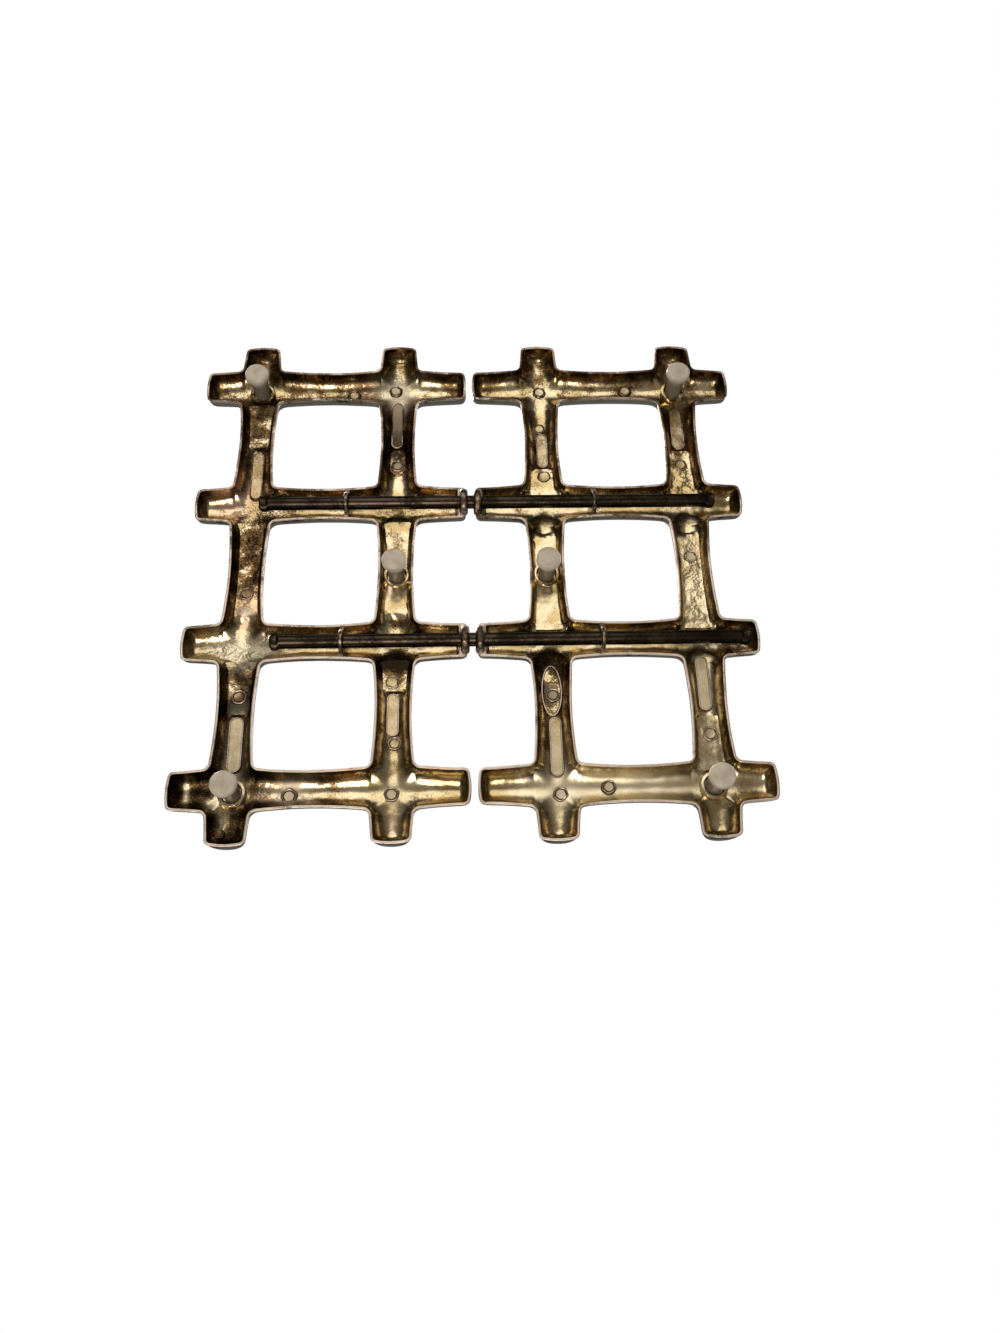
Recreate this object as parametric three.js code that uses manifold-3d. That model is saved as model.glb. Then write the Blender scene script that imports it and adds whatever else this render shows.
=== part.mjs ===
// An expandable trivet: two hollow plated castings that slide apart on two steel rods, on six plastic feet.
// Millimetres. X is the sliding direction, Y runs along the crossbars, Z is up and the table is at z = 0.
import * as THREE from "three";
import { mergeVertices } from "three/addons/utils/BufferGeometryUtils.js";
import Module from "manifold-3d";

// The lattice from above: a half has four rails along X, which two crossbars along Y join.
const closedLength = 197; // over both halves as they lie at rest
const restGap = 2.1; // between the inner ends of the two halves at rest
const crossbarPitch = 51.9; // between the two crossbars of a half
const railStub = 20.1; // from the outer crossbar to the outer ends of the rails
const slideRailPitch = 54; // between the two rails that hold the rods
const plainRailPitch = 51.1; // from a slide rail to the plain rail beside it
const crossbarStub = 18.3; // from a plain rail to the ends of the crossbars

// A bar is a trough, open below, with a full half-round section. It swells towards each crossing.
const waistWidth = 12.4; // where it is narrowest, midway between two crossings
const swell = 0.9; // how much wider it is on each side at a crossing
const windowFillet = 2.2; // radius in the corners of the windows
const barDepth = 7.5; // from the rims up to the crown
const sideWall = 1.2; // side walls and plain end walls
const crownWall = 1.5;
const fullness = 2.5; // exponent of the section: 2 is an ellipse, and more is squarer
const endRound = 2; // radius round a plain end

// The rods run along the slide rails, with their axes level with the rims.
const rodDiameter = 4.76;
const rodLength = 163.4;
const frontRodOffset = 6.3; // from the trivet's middle to the rod's middle at rest
const backRodOffset = 13.2;
const rodChamfer = 0.5;
const stakeWidth = 6.3; // over the flattened lugs that stop the rod
const stakeHeight = 3.8;
const stakeLength = 3;
const stakeInset = 1.7; // from the rod's end to the middle of its lugs

// The rod guides: a thin web across the trough, and the collar at the inner end of the rail.
const webPlace = 44.4; // from the trivet's middle to the middle of the web
const webThickness = 1.5;
const collarThickness = 3;
const collarRound = 1.3;
const guideWall = 1.3; // metal over the rod, where the guides arch over it
const rodClearance = 0.35; // all round the rod in its guides

// The feet: tapered pegs with a wider head, each in a shallow socket in the trough.
const footHeight = 8.3; // from the table up to the rims
const headDiameter = 8.6;
const headThickness = 2.3;
const headRound = 1.1;
const headShoulder = 0.7; // height of the slope from the head to the shank
const shankDiameter = 6.3; // under the head
const plugDiameter = 5.7; // in the socket
const socketClearance = 0.3;
const socketDiameter = plugDiameter + 2 * socketClearance;
const socketWall = 1.45;
const socketDrop = 3.8; // from the rims up to the mouth of the socket
const mouthDiameter = 7.3; // of the funnel that leads into the socket
const mouthDepth = 0.9;

// Flat lands in the troughs of the crossbars, where the ejector pins pushed the casting out.
const landDrop = 4.6; // from the rims up to a land
const landWidth = 9.4; // wider than the trough is there, so that it runs into both walls
const innerLand = 12.2; // length of the land beside a slide rail on the inner crossbar
const outerLand = 19.5; // and of those on the outer one
const landStep = 10.2; // from a slide rail to the step at which the land between two slide rails starts
const bossLength = 19; // the oval boss on the inner crossbar
const bossWidth = 7.7;

// How finely round shapes are divided.
const crownSteps = 8; // over the crown of a bar
const troughSteps = 6; // over the trough inside it
const filletSteps = 2;
const endSteps = 2;
const roundSides = 16;
const footSides = 16;

// Places that follow from the sizes above.
const crossingHalf = waistWidth / 2 + swell;
const outerEnd = closedLength / 2;
const innerEnd = restGap / 2;
const outerCrossbar = outerEnd - railStub;
const innerCrossbar = outerCrossbar - crossbarPitch;
const slideRail = slideRailPitch / 2;
const plainRail = slideRail + plainRailPitch;
const crossbarEnd = plainRail + crossbarStub;
const boreRadius = rodDiameter / 2 + rodClearance;
const crossbars = [innerCrossbar, outerCrossbar];
const rails = [-plainRail, -slideRail, slideRail, plainRail];
const slideRails = [-slideRail, slideRail];
const troughHalf = waistWidth / 2 - sideWall;
const FAR = 1; // how far a cutting shape runs past the surface that it opens
const leastRound = 0.4; // smallest radius of a cutting shape's end
const leastStep = 0.05; // places along a bar that lie closer than this are one
const waistShares = [0.3, 0.5, 0.7]; // of a pitch, where a bar's gentle bow is divided

const wasm = await Module();
wasm.setup();

// A three.js geometry as a solid that can be joined and cut.
function solid(geometry) {
  const bare = geometry.clone();
  bare.deleteAttribute("normal");
  bare.deleteAttribute("uv");
  const merged = mergeVertices(bare, 1e-4);
  const vertProperties = new Float32Array(merged.attributes.position.array);
  const triVerts = new Uint32Array(merged.index.array);
  return new wasm.Manifold(new wasm.Mesh({ numProp: 3, vertProperties, triVerts }));
}

// A solid as a three.js geometry with flat shading.
function geometryOf(made) {
  const mesh = made.getMesh();
  const geometry = new THREE.BufferGeometry();
  geometry.setAttribute("position", new THREE.BufferAttribute(mesh.vertProperties, 3));
  geometry.setIndex(new THREE.BufferAttribute(mesh.triVerts, 1));
  const flat = geometry.toNonIndexed();
  flat.computeVertexNormals();
  return flat;
}

// A closed geometry through sections, which are loops of equally many points, counterclockwise from the last.
function loft(sections) {
  const count = sections[0].length;
  const faces = [];
  for (let i = 0; i + 1 < sections.length; i++) {
    for (let j = 0; j < count; j++) {
      const a = i * count + j;
      const b = i * count + ((j + 1) % count);
      faces.push(a, b, b + count, a, b + count, a + count);
    }
  }
  const last = (sections.length - 1) * count;
  for (let j = 1; j + 1 < count; j++) {
    faces.push(0, j + 1, j, last, last + j, last + j + 1);
  }
  const geometry = new THREE.BufferGeometry().setFromPoints(sections.flat());
  geometry.setIndex(faces);
  return geometry;
}

// How far a quarter circle of this radius has come in at a distance from its outer edge.
function quarterCircle(radius, distance) {
  const left = radius - Math.min(Math.max(distance, 0), radius);
  return radius - Math.sqrt(radius ** 2 - left ** 2);
}

// Distances from the outer edge of a quarter circle at which it is divided evenly.
function quarterSteps(radius, steps) {
  const angles = Array.from({ length: steps + 1 }, (_, i) => (i * Math.PI) / 2 / steps);
  return angles.map((angle) => radius * (1 - Math.cos(angle)));
}

// Half a bar's width at a place along it. inset is the wall, where the trough inside it is wanted.
function halfWidth(along, crossings, inset, filleted) {
  const away = Math.min(...crossings.map((crossing) => Math.abs(along - crossing)));
  const reach = crossbarPitch / 2 - crossingHalf - windowFillet;
  const clear = Math.max(away - crossingHalf - windowFillet, 0);
  const swollen = swell * Math.max(1 - clear / reach, 0) ** 2;
  const radius = windowFillet + inset;
  const edge = crossingHalf - inset;
  const corner = filleted ? quarterCircle(radius, away - edge) : 0;
  return waistWidth / 2 + swollen - inset + corner;
}

// The places along a bar at which its width changes.
function stations(start, stop, crossings, inset, filleted, startRound, stopRound) {
  const places = [];
  for (const distance of quarterSteps(startRound, endSteps)) places.push(start + distance);
  for (const distance of quarterSteps(stopRound, endSteps)) places.push(stop - distance);
  for (const crossing of crossings) {
    const edge = crossingHalf - inset;
    const steps = filleted
      ? quarterSteps(windowFillet + inset, filletSteps).map((distance) => edge + distance)
      : [crossingHalf + windowFillet];
    for (const step of steps) places.push(crossing - step, crossing + step);
  }
  for (let i = 0; i + 1 < crossings.length; i++) {
    const pitch = crossings[i + 1] - crossings[i];
    for (const share of waistShares) places.push(crossings[i] + share * pitch);
  }
  const ordered = places.filter((place) => place >= start && place <= stop).sort((a, b) => a - b);
  return ordered.filter((place, i) => i === 0 || place - ordered[i - 1] > leastStep);
}

// The sine or cosine of a superellipse, from a circle's.
function full(value) {
  return Math.sign(value) * Math.abs(value) ** (2 / fullness);
}

// A half-round section across the X axis. A skirt below it makes a cutter that opens the rims.
function archSection(x, half, height, skirt) {
  const steps = skirt ? troughSteps : crownSteps;
  const points = [];
  if (skirt) points.push(new THREE.Vector3(x, half, -skirt));
  for (let i = 0; i <= steps; i++) {
    const angle = (i * Math.PI) / steps;
    const across = i === 0 || i === steps ? Math.sign(Math.cos(angle)) : full(Math.cos(angle));
    const up = i === 0 || i === steps ? 0 : full(Math.sin(angle));
    points.push(new THREE.Vector3(x, half * across, height * up));
  }
  if (skirt) points.push(new THREE.Vector3(x, -half, -skirt));
  return points;
}

// A bar along X, or the trough inside it, with its rims at z = 0 and both ends rounded.
function archBar(options) {
  const { start, stop, crossings, inset, height, skirt, filleted, startRound, stopRound } = options;
  const places = stations(start, stop, crossings, inset, filleted, startRound, stopRound);
  const sections = places.map((x) => {
    const trim = quarterCircle(startRound, x - start) + quarterCircle(stopRound, stop - x);
    return archSection(x, halfWidth(x, crossings, inset, filleted) - trim, height - trim, skirt);
  });
  return loft(sections);
}

// Turns a geometry made along X so that it runs along Y.
function alongY(geometry) {
  return geometry.rotateZ(Math.PI / 2);
}

// The outside of a rail, from its inner end to its outer end.
function railOutside(round) {
  return archBar({
    start: innerEnd,
    stop: outerEnd,
    crossings: crossbars,
    inset: 0,
    height: barDepth,
    skirt: 0,
    filleted: true,
    startRound: round,
    stopRound: endRound,
  });
}

// The trough inside a rail.
function railInside(innerWall, round) {
  return archBar({
    start: innerEnd + innerWall,
    stop: outerEnd - sideWall,
    crossings: crossbars,
    inset: sideWall,
    height: barDepth - crownWall,
    skirt: FAR,
    filleted: true,
    startRound: Math.max(round - innerWall, leastRound),
    stopRound: endRound - sideWall,
  });
}

// A crossbar, whole with an inset of 0, or the trough inside it with an inset of the side wall.
function crossbarShape(inset) {
  return alongY(
    archBar({
      start: inset - crossbarEnd,
      stop: crossbarEnd - inset,
      crossings: rails,
      inset,
      height: inset ? barDepth - crownWall : barDepth,
      skirt: inset ? FAR : 0,
      filleted: false,
      startRound: endRound - inset,
      stopRound: endRound - inset,
    }),
  );
}

// A round bar along X from one place to another, at a rail's middle and level with the rims.
function roundAlongX(radius, start, stop) {
  const geometry = new THREE.CylinderGeometry(radius, radius, stop - start, roundSides);
  return geometry.rotateZ(Math.PI / 2).translate((start + stop) / 2, 0, 0);
}

// The web across the trough, with the hump that carries the rod.
function rodWeb() {
  const start = webPlace - webThickness / 2;
  const stop = webPlace + webThickness / 2;
  const plate = [start, stop].map((x) => {
    const half = halfWidth(x, crossbars, sideWall / 2, true);
    return archSection(x, half, barDepth - crownWall / 2, 0);
  });
  const hump = roundAlongX(boreRadius + guideWall, start, stop);
  return solid(loft(plate)).add(solid(hump));
}

// The hump over the rod at the inner end of a slide rail, rounded towards the other half.
function collarHump() {
  const radius = boreRadius + guideWall;
  const nose = Math.min(guideWall, collarThickness / 2);
  const profile = [new THREE.Vector2(0, 0)];
  for (const distance of quarterSteps(nose, endSteps)) {
    profile.push(new THREE.Vector2(radius - quarterCircle(nose, distance), distance));
  }
  profile.push(new THREE.Vector2(radius, collarThickness), new THREE.Vector2(0, collarThickness));
  const hump = new THREE.LatheGeometry(profile, roundSides);
  return solid(hump.rotateZ(-Math.PI / 2).translate(innerEnd, 0, 0));
}

// The socket that a foot stands in: a round boss under the crown.
function footBoss() {
  const height = barDepth - crownWall / 2 - socketDrop;
  const radius = socketDiameter / 2 + socketWall;
  const boss = new THREE.CylinderGeometry(radius, radius, height, footSides);
  return solid(boss.rotateX(Math.PI / 2).translate(0, 0, socketDrop + height / 2));
}

// The hole in the boss, with a funnel at its mouth.
function footSocket() {
  const hole = socketDiameter / 2;
  const mouth = mouthDiameter / 2;
  const top = barDepth - crownWall;
  const profile = [
    new THREE.Vector2(0, socketDrop - FAR),
    new THREE.Vector2(mouth, socketDrop - FAR),
    new THREE.Vector2(mouth, socketDrop),
    new THREE.Vector2(hole, socketDrop + mouthDepth),
    new THREE.Vector2(hole, top),
    new THREE.Vector2(0, top),
  ];
  return solid(new THREE.LatheGeometry(profile, footSides).rotateX(Math.PI / 2));
}

// A flat land in a crossbar's trough between two places along it.
function land(x, start, stop) {
  const geometry = new THREE.BoxGeometry(landWidth, stop - start, barDepth);
  return solid(geometry.translate(x, (start + stop) / 2, landDrop + barDepth / 2));
}

// The lands of a casting. Each runs up to the trough of a rail, except at a step of its own.
function lands() {
  const besideRail = slideRail + troughHalf;
  const betweenRails = slideRail - troughHalf;
  const made = crossbars.map((x) => land(x, landStep - slideRail, betweenRails));
  made.push(land(innerCrossbar, -besideRail - innerLand, -besideRail));
  made.push(land(outerCrossbar, -besideRail - outerLand, -besideRail));
  made.push(land(outerCrossbar, plainRail - troughHalf - outerLand, plainRail - troughHalf));
  const boss = new THREE.CylinderGeometry(bossWidth / 2, bossWidth / 2, barDepth, footSides);
  boss.rotateX(Math.PI / 2).scale(1, bossLength / bossWidth, 1);
  made.push(solid(boss.translate(innerCrossbar, besideRail + bossLength / 2, landDrop + barDepth / 2)));
  return made;
}

// Where the feet of the right half stand. The left half is the same casting, turned half round.
const footPlaces = {
  front: [outerCrossbar, -plainRail],
  middle: [innerCrossbar, 0],
  back: [outerCrossbar, plainRail],
};

// One casting, as the right half, with its rims at z = 0.
function halfCasting() {
  let outside = solid(crossbarShape(0).translate(innerCrossbar, 0, 0));
  let inside = solid(crossbarShape(sideWall).translate(innerCrossbar, 0, 0));
  outside = outside.add(solid(crossbarShape(0).translate(outerCrossbar, 0, 0)));
  inside = inside.add(solid(crossbarShape(sideWall).translate(outerCrossbar, 0, 0)));
  for (const y of rails) {
    const slides = slideRails.includes(y);
    const round = slides ? collarRound : endRound;
    const innerWall = slides ? collarThickness : sideWall;
    outside = outside.add(solid(railOutside(round).translate(0, y, 0)));
    inside = inside.add(solid(railInside(innerWall, round).translate(0, y, 0)));
  }
  for (const made of lands()) inside = inside.subtract(made);
  let casting = outside.subtract(inside);
  for (const y of slideRails) {
    casting = casting.add(rodWeb().translate([0, y, 0])).add(collarHump().translate([0, y, 0]));
    const webBore = roundAlongX(boreRadius, innerEnd + collarThickness, webPlace + webThickness);
    const collarBore = roundAlongX(boreRadius, innerEnd - FAR, innerEnd + collarThickness + FAR);
    for (const bore of [webBore, collarBore]) casting = casting.subtract(solid(bore.translate(0, y, 0)));
  }
  for (const [x, y] of Object.values(footPlaces)) {
    casting = casting.add(footBoss().translate([x, y, 0]).intersect(outside));
    casting = casting.subtract(footSocket().translate([x, y, 0]));
  }
  return geometryOf(casting);
}

// A rod along X: round, with its ends chamfered and staked flat into lugs that can't pass the webs.
function slideRod() {
  const end = rodLength / 2;
  const stake = end - stakeInset;
  const radius = rodDiameter / 2;
  const half = [
    [0, radius, radius],
    [stake - stakeLength / 2, radius, radius],
    [stake - stakeLength / 4, stakeWidth / 2, stakeHeight / 2],
    [stake + stakeLength / 4, stakeWidth / 2, stakeHeight / 2],
    [end - rodChamfer, radius, radius],
    [end, radius - rodChamfer, radius - rodChamfer],
  ];
  const other = half.slice(1).map(([x, wide, high]) => [-x, wide, high]);
  const sections = [...other.reverse(), ...half].map(([x, wide, high]) =>
    Array.from({ length: roundSides }, (_, i) => {
      const angle = (i * 2 * Math.PI) / roundSides;
      return new THREE.Vector3(x, wide * Math.cos(angle), high * Math.sin(angle));
    }),
  );
  return geometryOf(solid(loft(sections)));
}

// A foot with its tip on the table.
function footPeg() {
  const head = headDiameter / 2;
  const mouth = footHeight + socketDrop;
  const top = footHeight + barDepth - crownWall - socketClearance;
  const profile = [new THREE.Vector2(0, 0)];
  for (const distance of quarterSteps(headRound, endSteps)) {
    profile.push(new THREE.Vector2(head - quarterCircle(headRound, distance), distance));
  }
  profile.push(
    new THREE.Vector2(head, headThickness),
    new THREE.Vector2(shankDiameter / 2, headThickness + headShoulder),
    new THREE.Vector2(plugDiameter / 2, mouth),
    new THREE.Vector2(plugDiameter / 2, top),
    new THREE.Vector2(0, top),
  );
  const peg = new THREE.LatheGeometry(profile, footSides).rotateX(Math.PI / 2);
  return geometryOf(solid(peg));
}

const plate = new THREE.MeshStandardMaterial({ color: 0xa3957a, roughness: 0.35, metalness: 1 });
const steel = new THREE.MeshStandardMaterial({ color: 0x4a443c, roughness: 0.4, metalness: 1 });
const plastic = new THREE.MeshStandardMaterial({ color: 0xcfc9bb, roughness: 0.5, metalness: 0 });

function named(name, geometry, material, position) {
  const mesh = new THREE.Mesh(geometry, material);
  mesh.name = name;
  mesh.position.set(...position);
  return mesh;
}

// A half with its feet. The turned half has its front foot where the other has its back one.
function half(side, turned, casting, peg) {
  const group = new THREE.Group();
  group.add(named(`${side}_half`, casting, plate, [0, 0, footHeight]));
  for (const [place, [x, y]] of Object.entries(footPlaces)) {
    group.add(named(`${side}_${place}_foot`, peg, plastic, [x, turned ? -y : y, 0]));
  }
  if (turned) group.rotation.z = Math.PI;
  return group;
}

const trivet = new THREE.Group();
const casting = halfCasting();
const peg = footPeg();
const rod = slideRod();
trivet.add(half("left", true, casting, peg), half("right", false, casting, peg));
trivet.add(named("front_slide_rod", rod, steel, [frontRodOffset, -slideRail, footHeight]));
trivet.add(named("back_slide_rod", rod, steel, [backRodOffset, slideRail, footHeight]));

export default trivet;
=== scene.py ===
# %% [markdown]
# # An expandable lattice trivet
#
# Two hollow castings, each a lattice of four rails and two crossbars, slide apart on two steel rods and
# stand on six plastic feet. The camera looks at the underside, where the troughs inside the bars show,
# and the other views look at the plain polished crowns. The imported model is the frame: every piece
# here goes where it says.

# %% Load the frame
import math
from collections import namedtuple

import bmesh
import bpy
import numpy as np
from mathutils import Matrix, Vector


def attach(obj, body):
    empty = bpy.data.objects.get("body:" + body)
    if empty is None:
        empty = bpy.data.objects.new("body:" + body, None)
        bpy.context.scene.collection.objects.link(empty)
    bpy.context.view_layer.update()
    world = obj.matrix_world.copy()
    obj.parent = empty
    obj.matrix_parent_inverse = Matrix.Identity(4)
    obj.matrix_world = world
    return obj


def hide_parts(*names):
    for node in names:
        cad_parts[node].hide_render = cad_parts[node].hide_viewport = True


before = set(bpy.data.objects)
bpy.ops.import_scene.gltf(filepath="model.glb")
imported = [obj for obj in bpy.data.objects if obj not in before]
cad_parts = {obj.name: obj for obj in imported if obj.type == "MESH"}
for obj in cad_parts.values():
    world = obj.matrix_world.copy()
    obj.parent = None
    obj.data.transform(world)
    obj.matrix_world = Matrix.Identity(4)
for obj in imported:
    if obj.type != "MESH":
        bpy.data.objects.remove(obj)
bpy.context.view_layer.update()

MM = 0.001
print("nodes:", ", ".join(sorted(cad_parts)))

# %% [markdown]
# ## The camera
#
# A photograph's camera can be found from the lattice itself: its bars are parallel and evenly spaced, so
# the way that they draw together gives the lens, and where they lie gives the place. The camera hangs
# below the trivet and looks up at it. Its picture is turned so that the back of the trivet is lowest.

# %% Place the camera
camera_place = Vector((-0.76, 163.5, -302.86)) * MM
camera_aim = Vector((9.08, 37.02, 8.3)) * MM
picture_up = Vector((0.0234, -1, 0))
lens = 27.0
sensor_width = 36.0
clip_start = 0.01


def thing_of(name, data):
    """An object in the scene, with a mesh, a camera or a light as its data."""
    made = bpy.data.objects.new(name, data)
    bpy.context.collection.objects.link(made)
    return made


camera = thing_of("camera", bpy.data.cameras.new("camera"))
camera.data.lens = lens
camera.data.sensor_width = sensor_width
camera.data.clip_start = clip_start
behind = (camera_place - camera_aim).normalized()
rightwards = picture_up.cross(behind).normalized()
upwards = behind.cross(rightwards)
turn = Matrix((rightwards, upwards, behind)).transposed()
camera.matrix_world = Matrix.Translation(camera_place) @ turn.to_4x4()
bpy.context.scene.camera = camera
print("camera to trivet:", round((camera_place - camera_aim).length / MM), "mm")

# %% [markdown]
# ## Sums in a node tree
#
# A rule such as the width of a bar takes dozens of Math nodes. Wired one by one they are hard to read.
# A small class stands for a value in a tree and lets Python's own signs add the nodes, so that a rule
# reads as it would on paper. It serves Geometry Nodes and materials alike.


# %% A value in a node tree
class Field:
    """A value in a node tree that can be reckoned with."""

    def __init__(self, tree, socket):
        self.tree = tree
        self.socket = socket

    def math(self, operation, *values):
        node = self.tree.nodes.new("ShaderNodeMath")
        node.operation = operation
        plug_all(self.tree, values, node.inputs)
        return Field(self.tree, node.outputs[0])

    def towards(self, other, share):
        """This value where the share is 0, and the other where it is 1."""
        return self + self.math("SUBTRACT", other, self) * share


# Python's signs and the names of sums, with the Math operation that each stands for
signs = {"add": "ADD", "sub": "SUBTRACT", "mul": "MULTIPLY", "truediv": "DIVIDE", "pow": "POWER"}
sums = {"sqrt": "SQRT", "at_least": "MAXIMUM", "at_most": "MINIMUM"}
sums.update({"__abs__": "ABSOLUTE", "__gt__": "GREATER_THAN"})


def forwards(operation):
    return lambda field, *others: field.math(operation, field, *others)


def backwards(operation):
    return lambda field, other: field.math(operation, other, field)


for name, operation in signs.items():
    setattr(Field, f"__{name}__", forwards(operation))
    setattr(Field, f"__r{name}__", backwards(operation))
for name, operation in sums.items():
    setattr(Field, name, forwards(operation))
print("signs:", ", ".join(signs), "and sums:", ", ".join(sums))


# %% Nodes, and trees with named sockets
FLOAT = "NodeSocketFloat"
WHOLE_NUMBER = "NodeSocketInt"
COLOUR = "NodeSocketColor"
VECTOR = "NodeSocketVector"
GEOMETRY = "NodeSocketGeometry"


def plug(tree, value, socket):
    """Feeds a socket from a field, another node's socket, or a plain value."""
    if isinstance(value, Field):
        tree.links.new(value.socket, socket)
    elif isinstance(value, bpy.types.NodeSocket):
        tree.links.new(value, socket)
    elif value is not None:
        socket.default_value = value


def plug_all(tree, values, sockets):
    for value, socket in zip(values, sockets):
        plug(tree, value, socket)


def add_node(tree, kind, settings=None, **inputs):
    """Adds a node, with its settings and with its inputs by name, underscores for spaces."""
    node = tree.nodes.new(kind)
    for key, value in (settings or {}).items():
        setattr(node, key, value)
    for key, value in inputs.items():
        plug(tree, value, node.inputs[key.replace("_", " ")])
    return node


def vector_math(tree, operation, *values):
    node = add_node(tree, "ShaderNodeVectorMath", {"operation": operation})
    plug_all(tree, values, node.inputs)
    return node


def parts_of(tree, vector):
    """A vector's parts along X, Y and Z."""
    node = add_node(tree, "ShaderNodeSeparateXYZ", Vector=vector)
    return [Field(tree, part) for part in node.outputs]


def socket_type(value):
    """A socket is given by its type, or by the number that it starts from."""
    if isinstance(value, str):
        return value
    return WHOLE_NUMBER if isinstance(value, int) else FLOAT


def new_tree(name, kind, inputs, outputs):
    """A node tree with named sockets. Returns it with its inputs, by name, and its output node."""
    tree = bpy.data.node_groups.new(name, kind)
    for in_out, sockets in (("INPUT", inputs), ("OUTPUT", outputs)):
        for key, value in sockets.items():
            socket = tree.interface.new_socket(key, in_out=in_out, socket_type=socket_type(value))
            if not isinstance(value, str):
                socket.default_value = value
    source = tree.nodes.new("NodeGroupInput")
    given = {key: Field(tree, source.outputs[key]) for key in inputs}
    return tree, given, tree.nodes.new("NodeGroupOutput")


print("a number's socket:", socket_type(8), "or", socket_type(8.0))

# %% [markdown]
# ## Colours that change over a surface
#
# Silver plate on zinc tarnishes unevenly: pale where it is rubbed, then straw, olive and brown, with
# coppery patches where the plate is thin. A painted picture would show this from one side only, so
# clouds and flecks of noise pick between such colours instead. The group is built once and each finish
# gives it its own colours.


# %% Noise, ranges and mixed colours
colour_sockets = (0, 6, 7)  # of a Mix node: its share and its two colours


def object_place(tree):
    """The place on the object, in metres, which is the same in every view and pose."""
    return tree.nodes.new("ShaderNodeTexCoord").outputs["Object"]


def noise_at(tree, place, size, detail, roughness=0.5, stretch=None):
    """Noise from 0 to 1 with spots of about this size in millimetres."""
    if stretch:
        moved = add_node(tree, "ShaderNodeMapping", Vector=place)
        moved.inputs["Scale"].default_value = stretch
        place = moved.outputs["Vector"]
    made = add_node(tree, "ShaderNodeTexNoise", Vector=place, Detail=detail, Roughness=roughness)
    plug(tree, (1 / MM) / size, made.inputs["Scale"])
    return Field(tree, made.outputs["Fac"])


def ranged(tree, value, low, high):
    """0 below the low value and 1 above the high one, smooth in between."""
    node = add_node(tree, "ShaderNodeMapRange", {"interpolation_type": "SMOOTHSTEP"}, Value=value)
    plug(tree, low, node.inputs["From Min"])
    plug(tree, high, node.inputs["From Max"])
    return Field(tree, node.outputs["Result"])


def mixed(tree, share, first, second):
    """One colour where the share is 0 and another where it is 1."""
    node = add_node(tree, "ShaderNodeMix", {"data_type": "RGBA"})
    plug_all(tree, (share, first, second), [node.inputs[place] for place in colour_sockets])
    return node.outputs[2]


# %% The patina group
soot = (0.02, 0.013, 0.008, 1)
fleck_stretch = (1, 1, 0.3)  # flecks run down the walls


def patina_group():
    colours = {"Rubbed": COLOUR, "Straw": COLOUR, "Brown": COLOUR, "Copper": COLOUR}
    shares = {"Darkness": 0.5, "Mottling": 1.0, "Copper share": 0.3}
    inputs = {**colours, "Cloud size": 7.0, "Fleck size": 0.9, **shares}
    outputs = {"Color": COLOUR, "Dull": FLOAT}
    tree, given, result = new_tree("patina", "ShaderNodeTree", inputs, outputs)
    place = object_place(tree)
    cloud = noise_at(tree, place, given["Cloud size"], 4.0, 0.6)
    wider = noise_at(tree, place, given["Cloud size"] / 0.7, 2.0)
    fleck = noise_at(tree, place, given["Fleck size"], 3.0, 0.6, fleck_stretch)
    uneven = (cloud - 0.5) * 2.2 + (fleck - 0.5) * 1.2
    mottled = uneven * given["Mottling"] + given["Darkness"]
    brown, sooty = ranged(tree, mottled, 0.3, 0.8), ranged(tree, mottled, 0.9, 1.35)
    straw = ranged(tree, wider * 0.7 + fleck * 0.3, 0.38, 0.6)
    copper = ranged(tree, 1 - wider + cloud * 0.2, 0.6, 0.72)
    colour = mixed(tree, straw, given["Rubbed"], given["Straw"])
    colour = mixed(tree, brown, colour, given["Brown"])
    colour = mixed(tree, copper * given["Copper share"], colour, given["Copper"])
    colour = mixed(tree, sooty, colour, soot)
    plug(tree, colour, result.inputs["Color"])
    plug(tree, brown, result.inputs["Dull"])
    return tree


patina = patina_group()
print("patina group:", len(patina.nodes), "nodes")

# %% [markdown]
# ## The grain of cast metal
#
# Metal that was poured into a die is never smooth. Fine grain lies over hammered pits, shallow waves and
# a few deep folds where the flow met itself. Real bumps so small would need millions of faces, so a
# group of Bump nodes tilts the light instead, one layer over another.


# %% The grain group
def bump(tree, strength, height, depth, under=None):
    """The normal of a surface with bumps of this depth in millimetres, over another normal."""
    node = add_node(tree, "ShaderNodeBump", Strength=strength, Height=height, Normal=under)
    plug(tree, depth * MM, node.inputs["Distance"])
    return node.outputs["Normal"]


def grain_group():
    sizes = {"Grain size": 0.35, "Wave size": 3.0, "Fold size": 6.0}
    inputs = {**sizes, "Grain": 0.3, "Waves": 0.5, "Folds": 0.0, "Pits": 0.0}
    tree, given, result = new_tree("cast grain", "ShaderNodeTree", inputs, {"Normal": VECTOR})
    place = object_place(tree)
    smooth_cells = {"feature": "SMOOTH_F1"}
    cells = add_node(tree, "ShaderNodeTexVoronoi", smooth_cells, Vector=place, Scale=1.3 / MM)
    folded = add_node(tree, "ShaderNodeTexNoise", Vector=place, Detail=1.0, Distortion=1.2)
    plug(tree, (1 / MM) / given["Fold size"], folded.inputs["Scale"])
    # strength, height, depth in millimetres
    layers = (
        ("Folds", folded.outputs["Fac"], 1.6),
        ("Waves", noise_at(tree, place, given["Wave size"], 1.0), 0.4),
        ("Pits", cells.outputs["Distance"], 0.3),
        ("Grain", noise_at(tree, place, given["Grain size"], 2.0), 0.06),
    )
    normal = None
    for strength, height, depth in layers:
        normal = bump(tree, given[strength], height, depth, normal)
    plug(tree, normal, result.inputs["Normal"])
    return tree


cast_grain = grain_group()
print("grain group:", len(cast_grain.nodes), "nodes")

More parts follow.
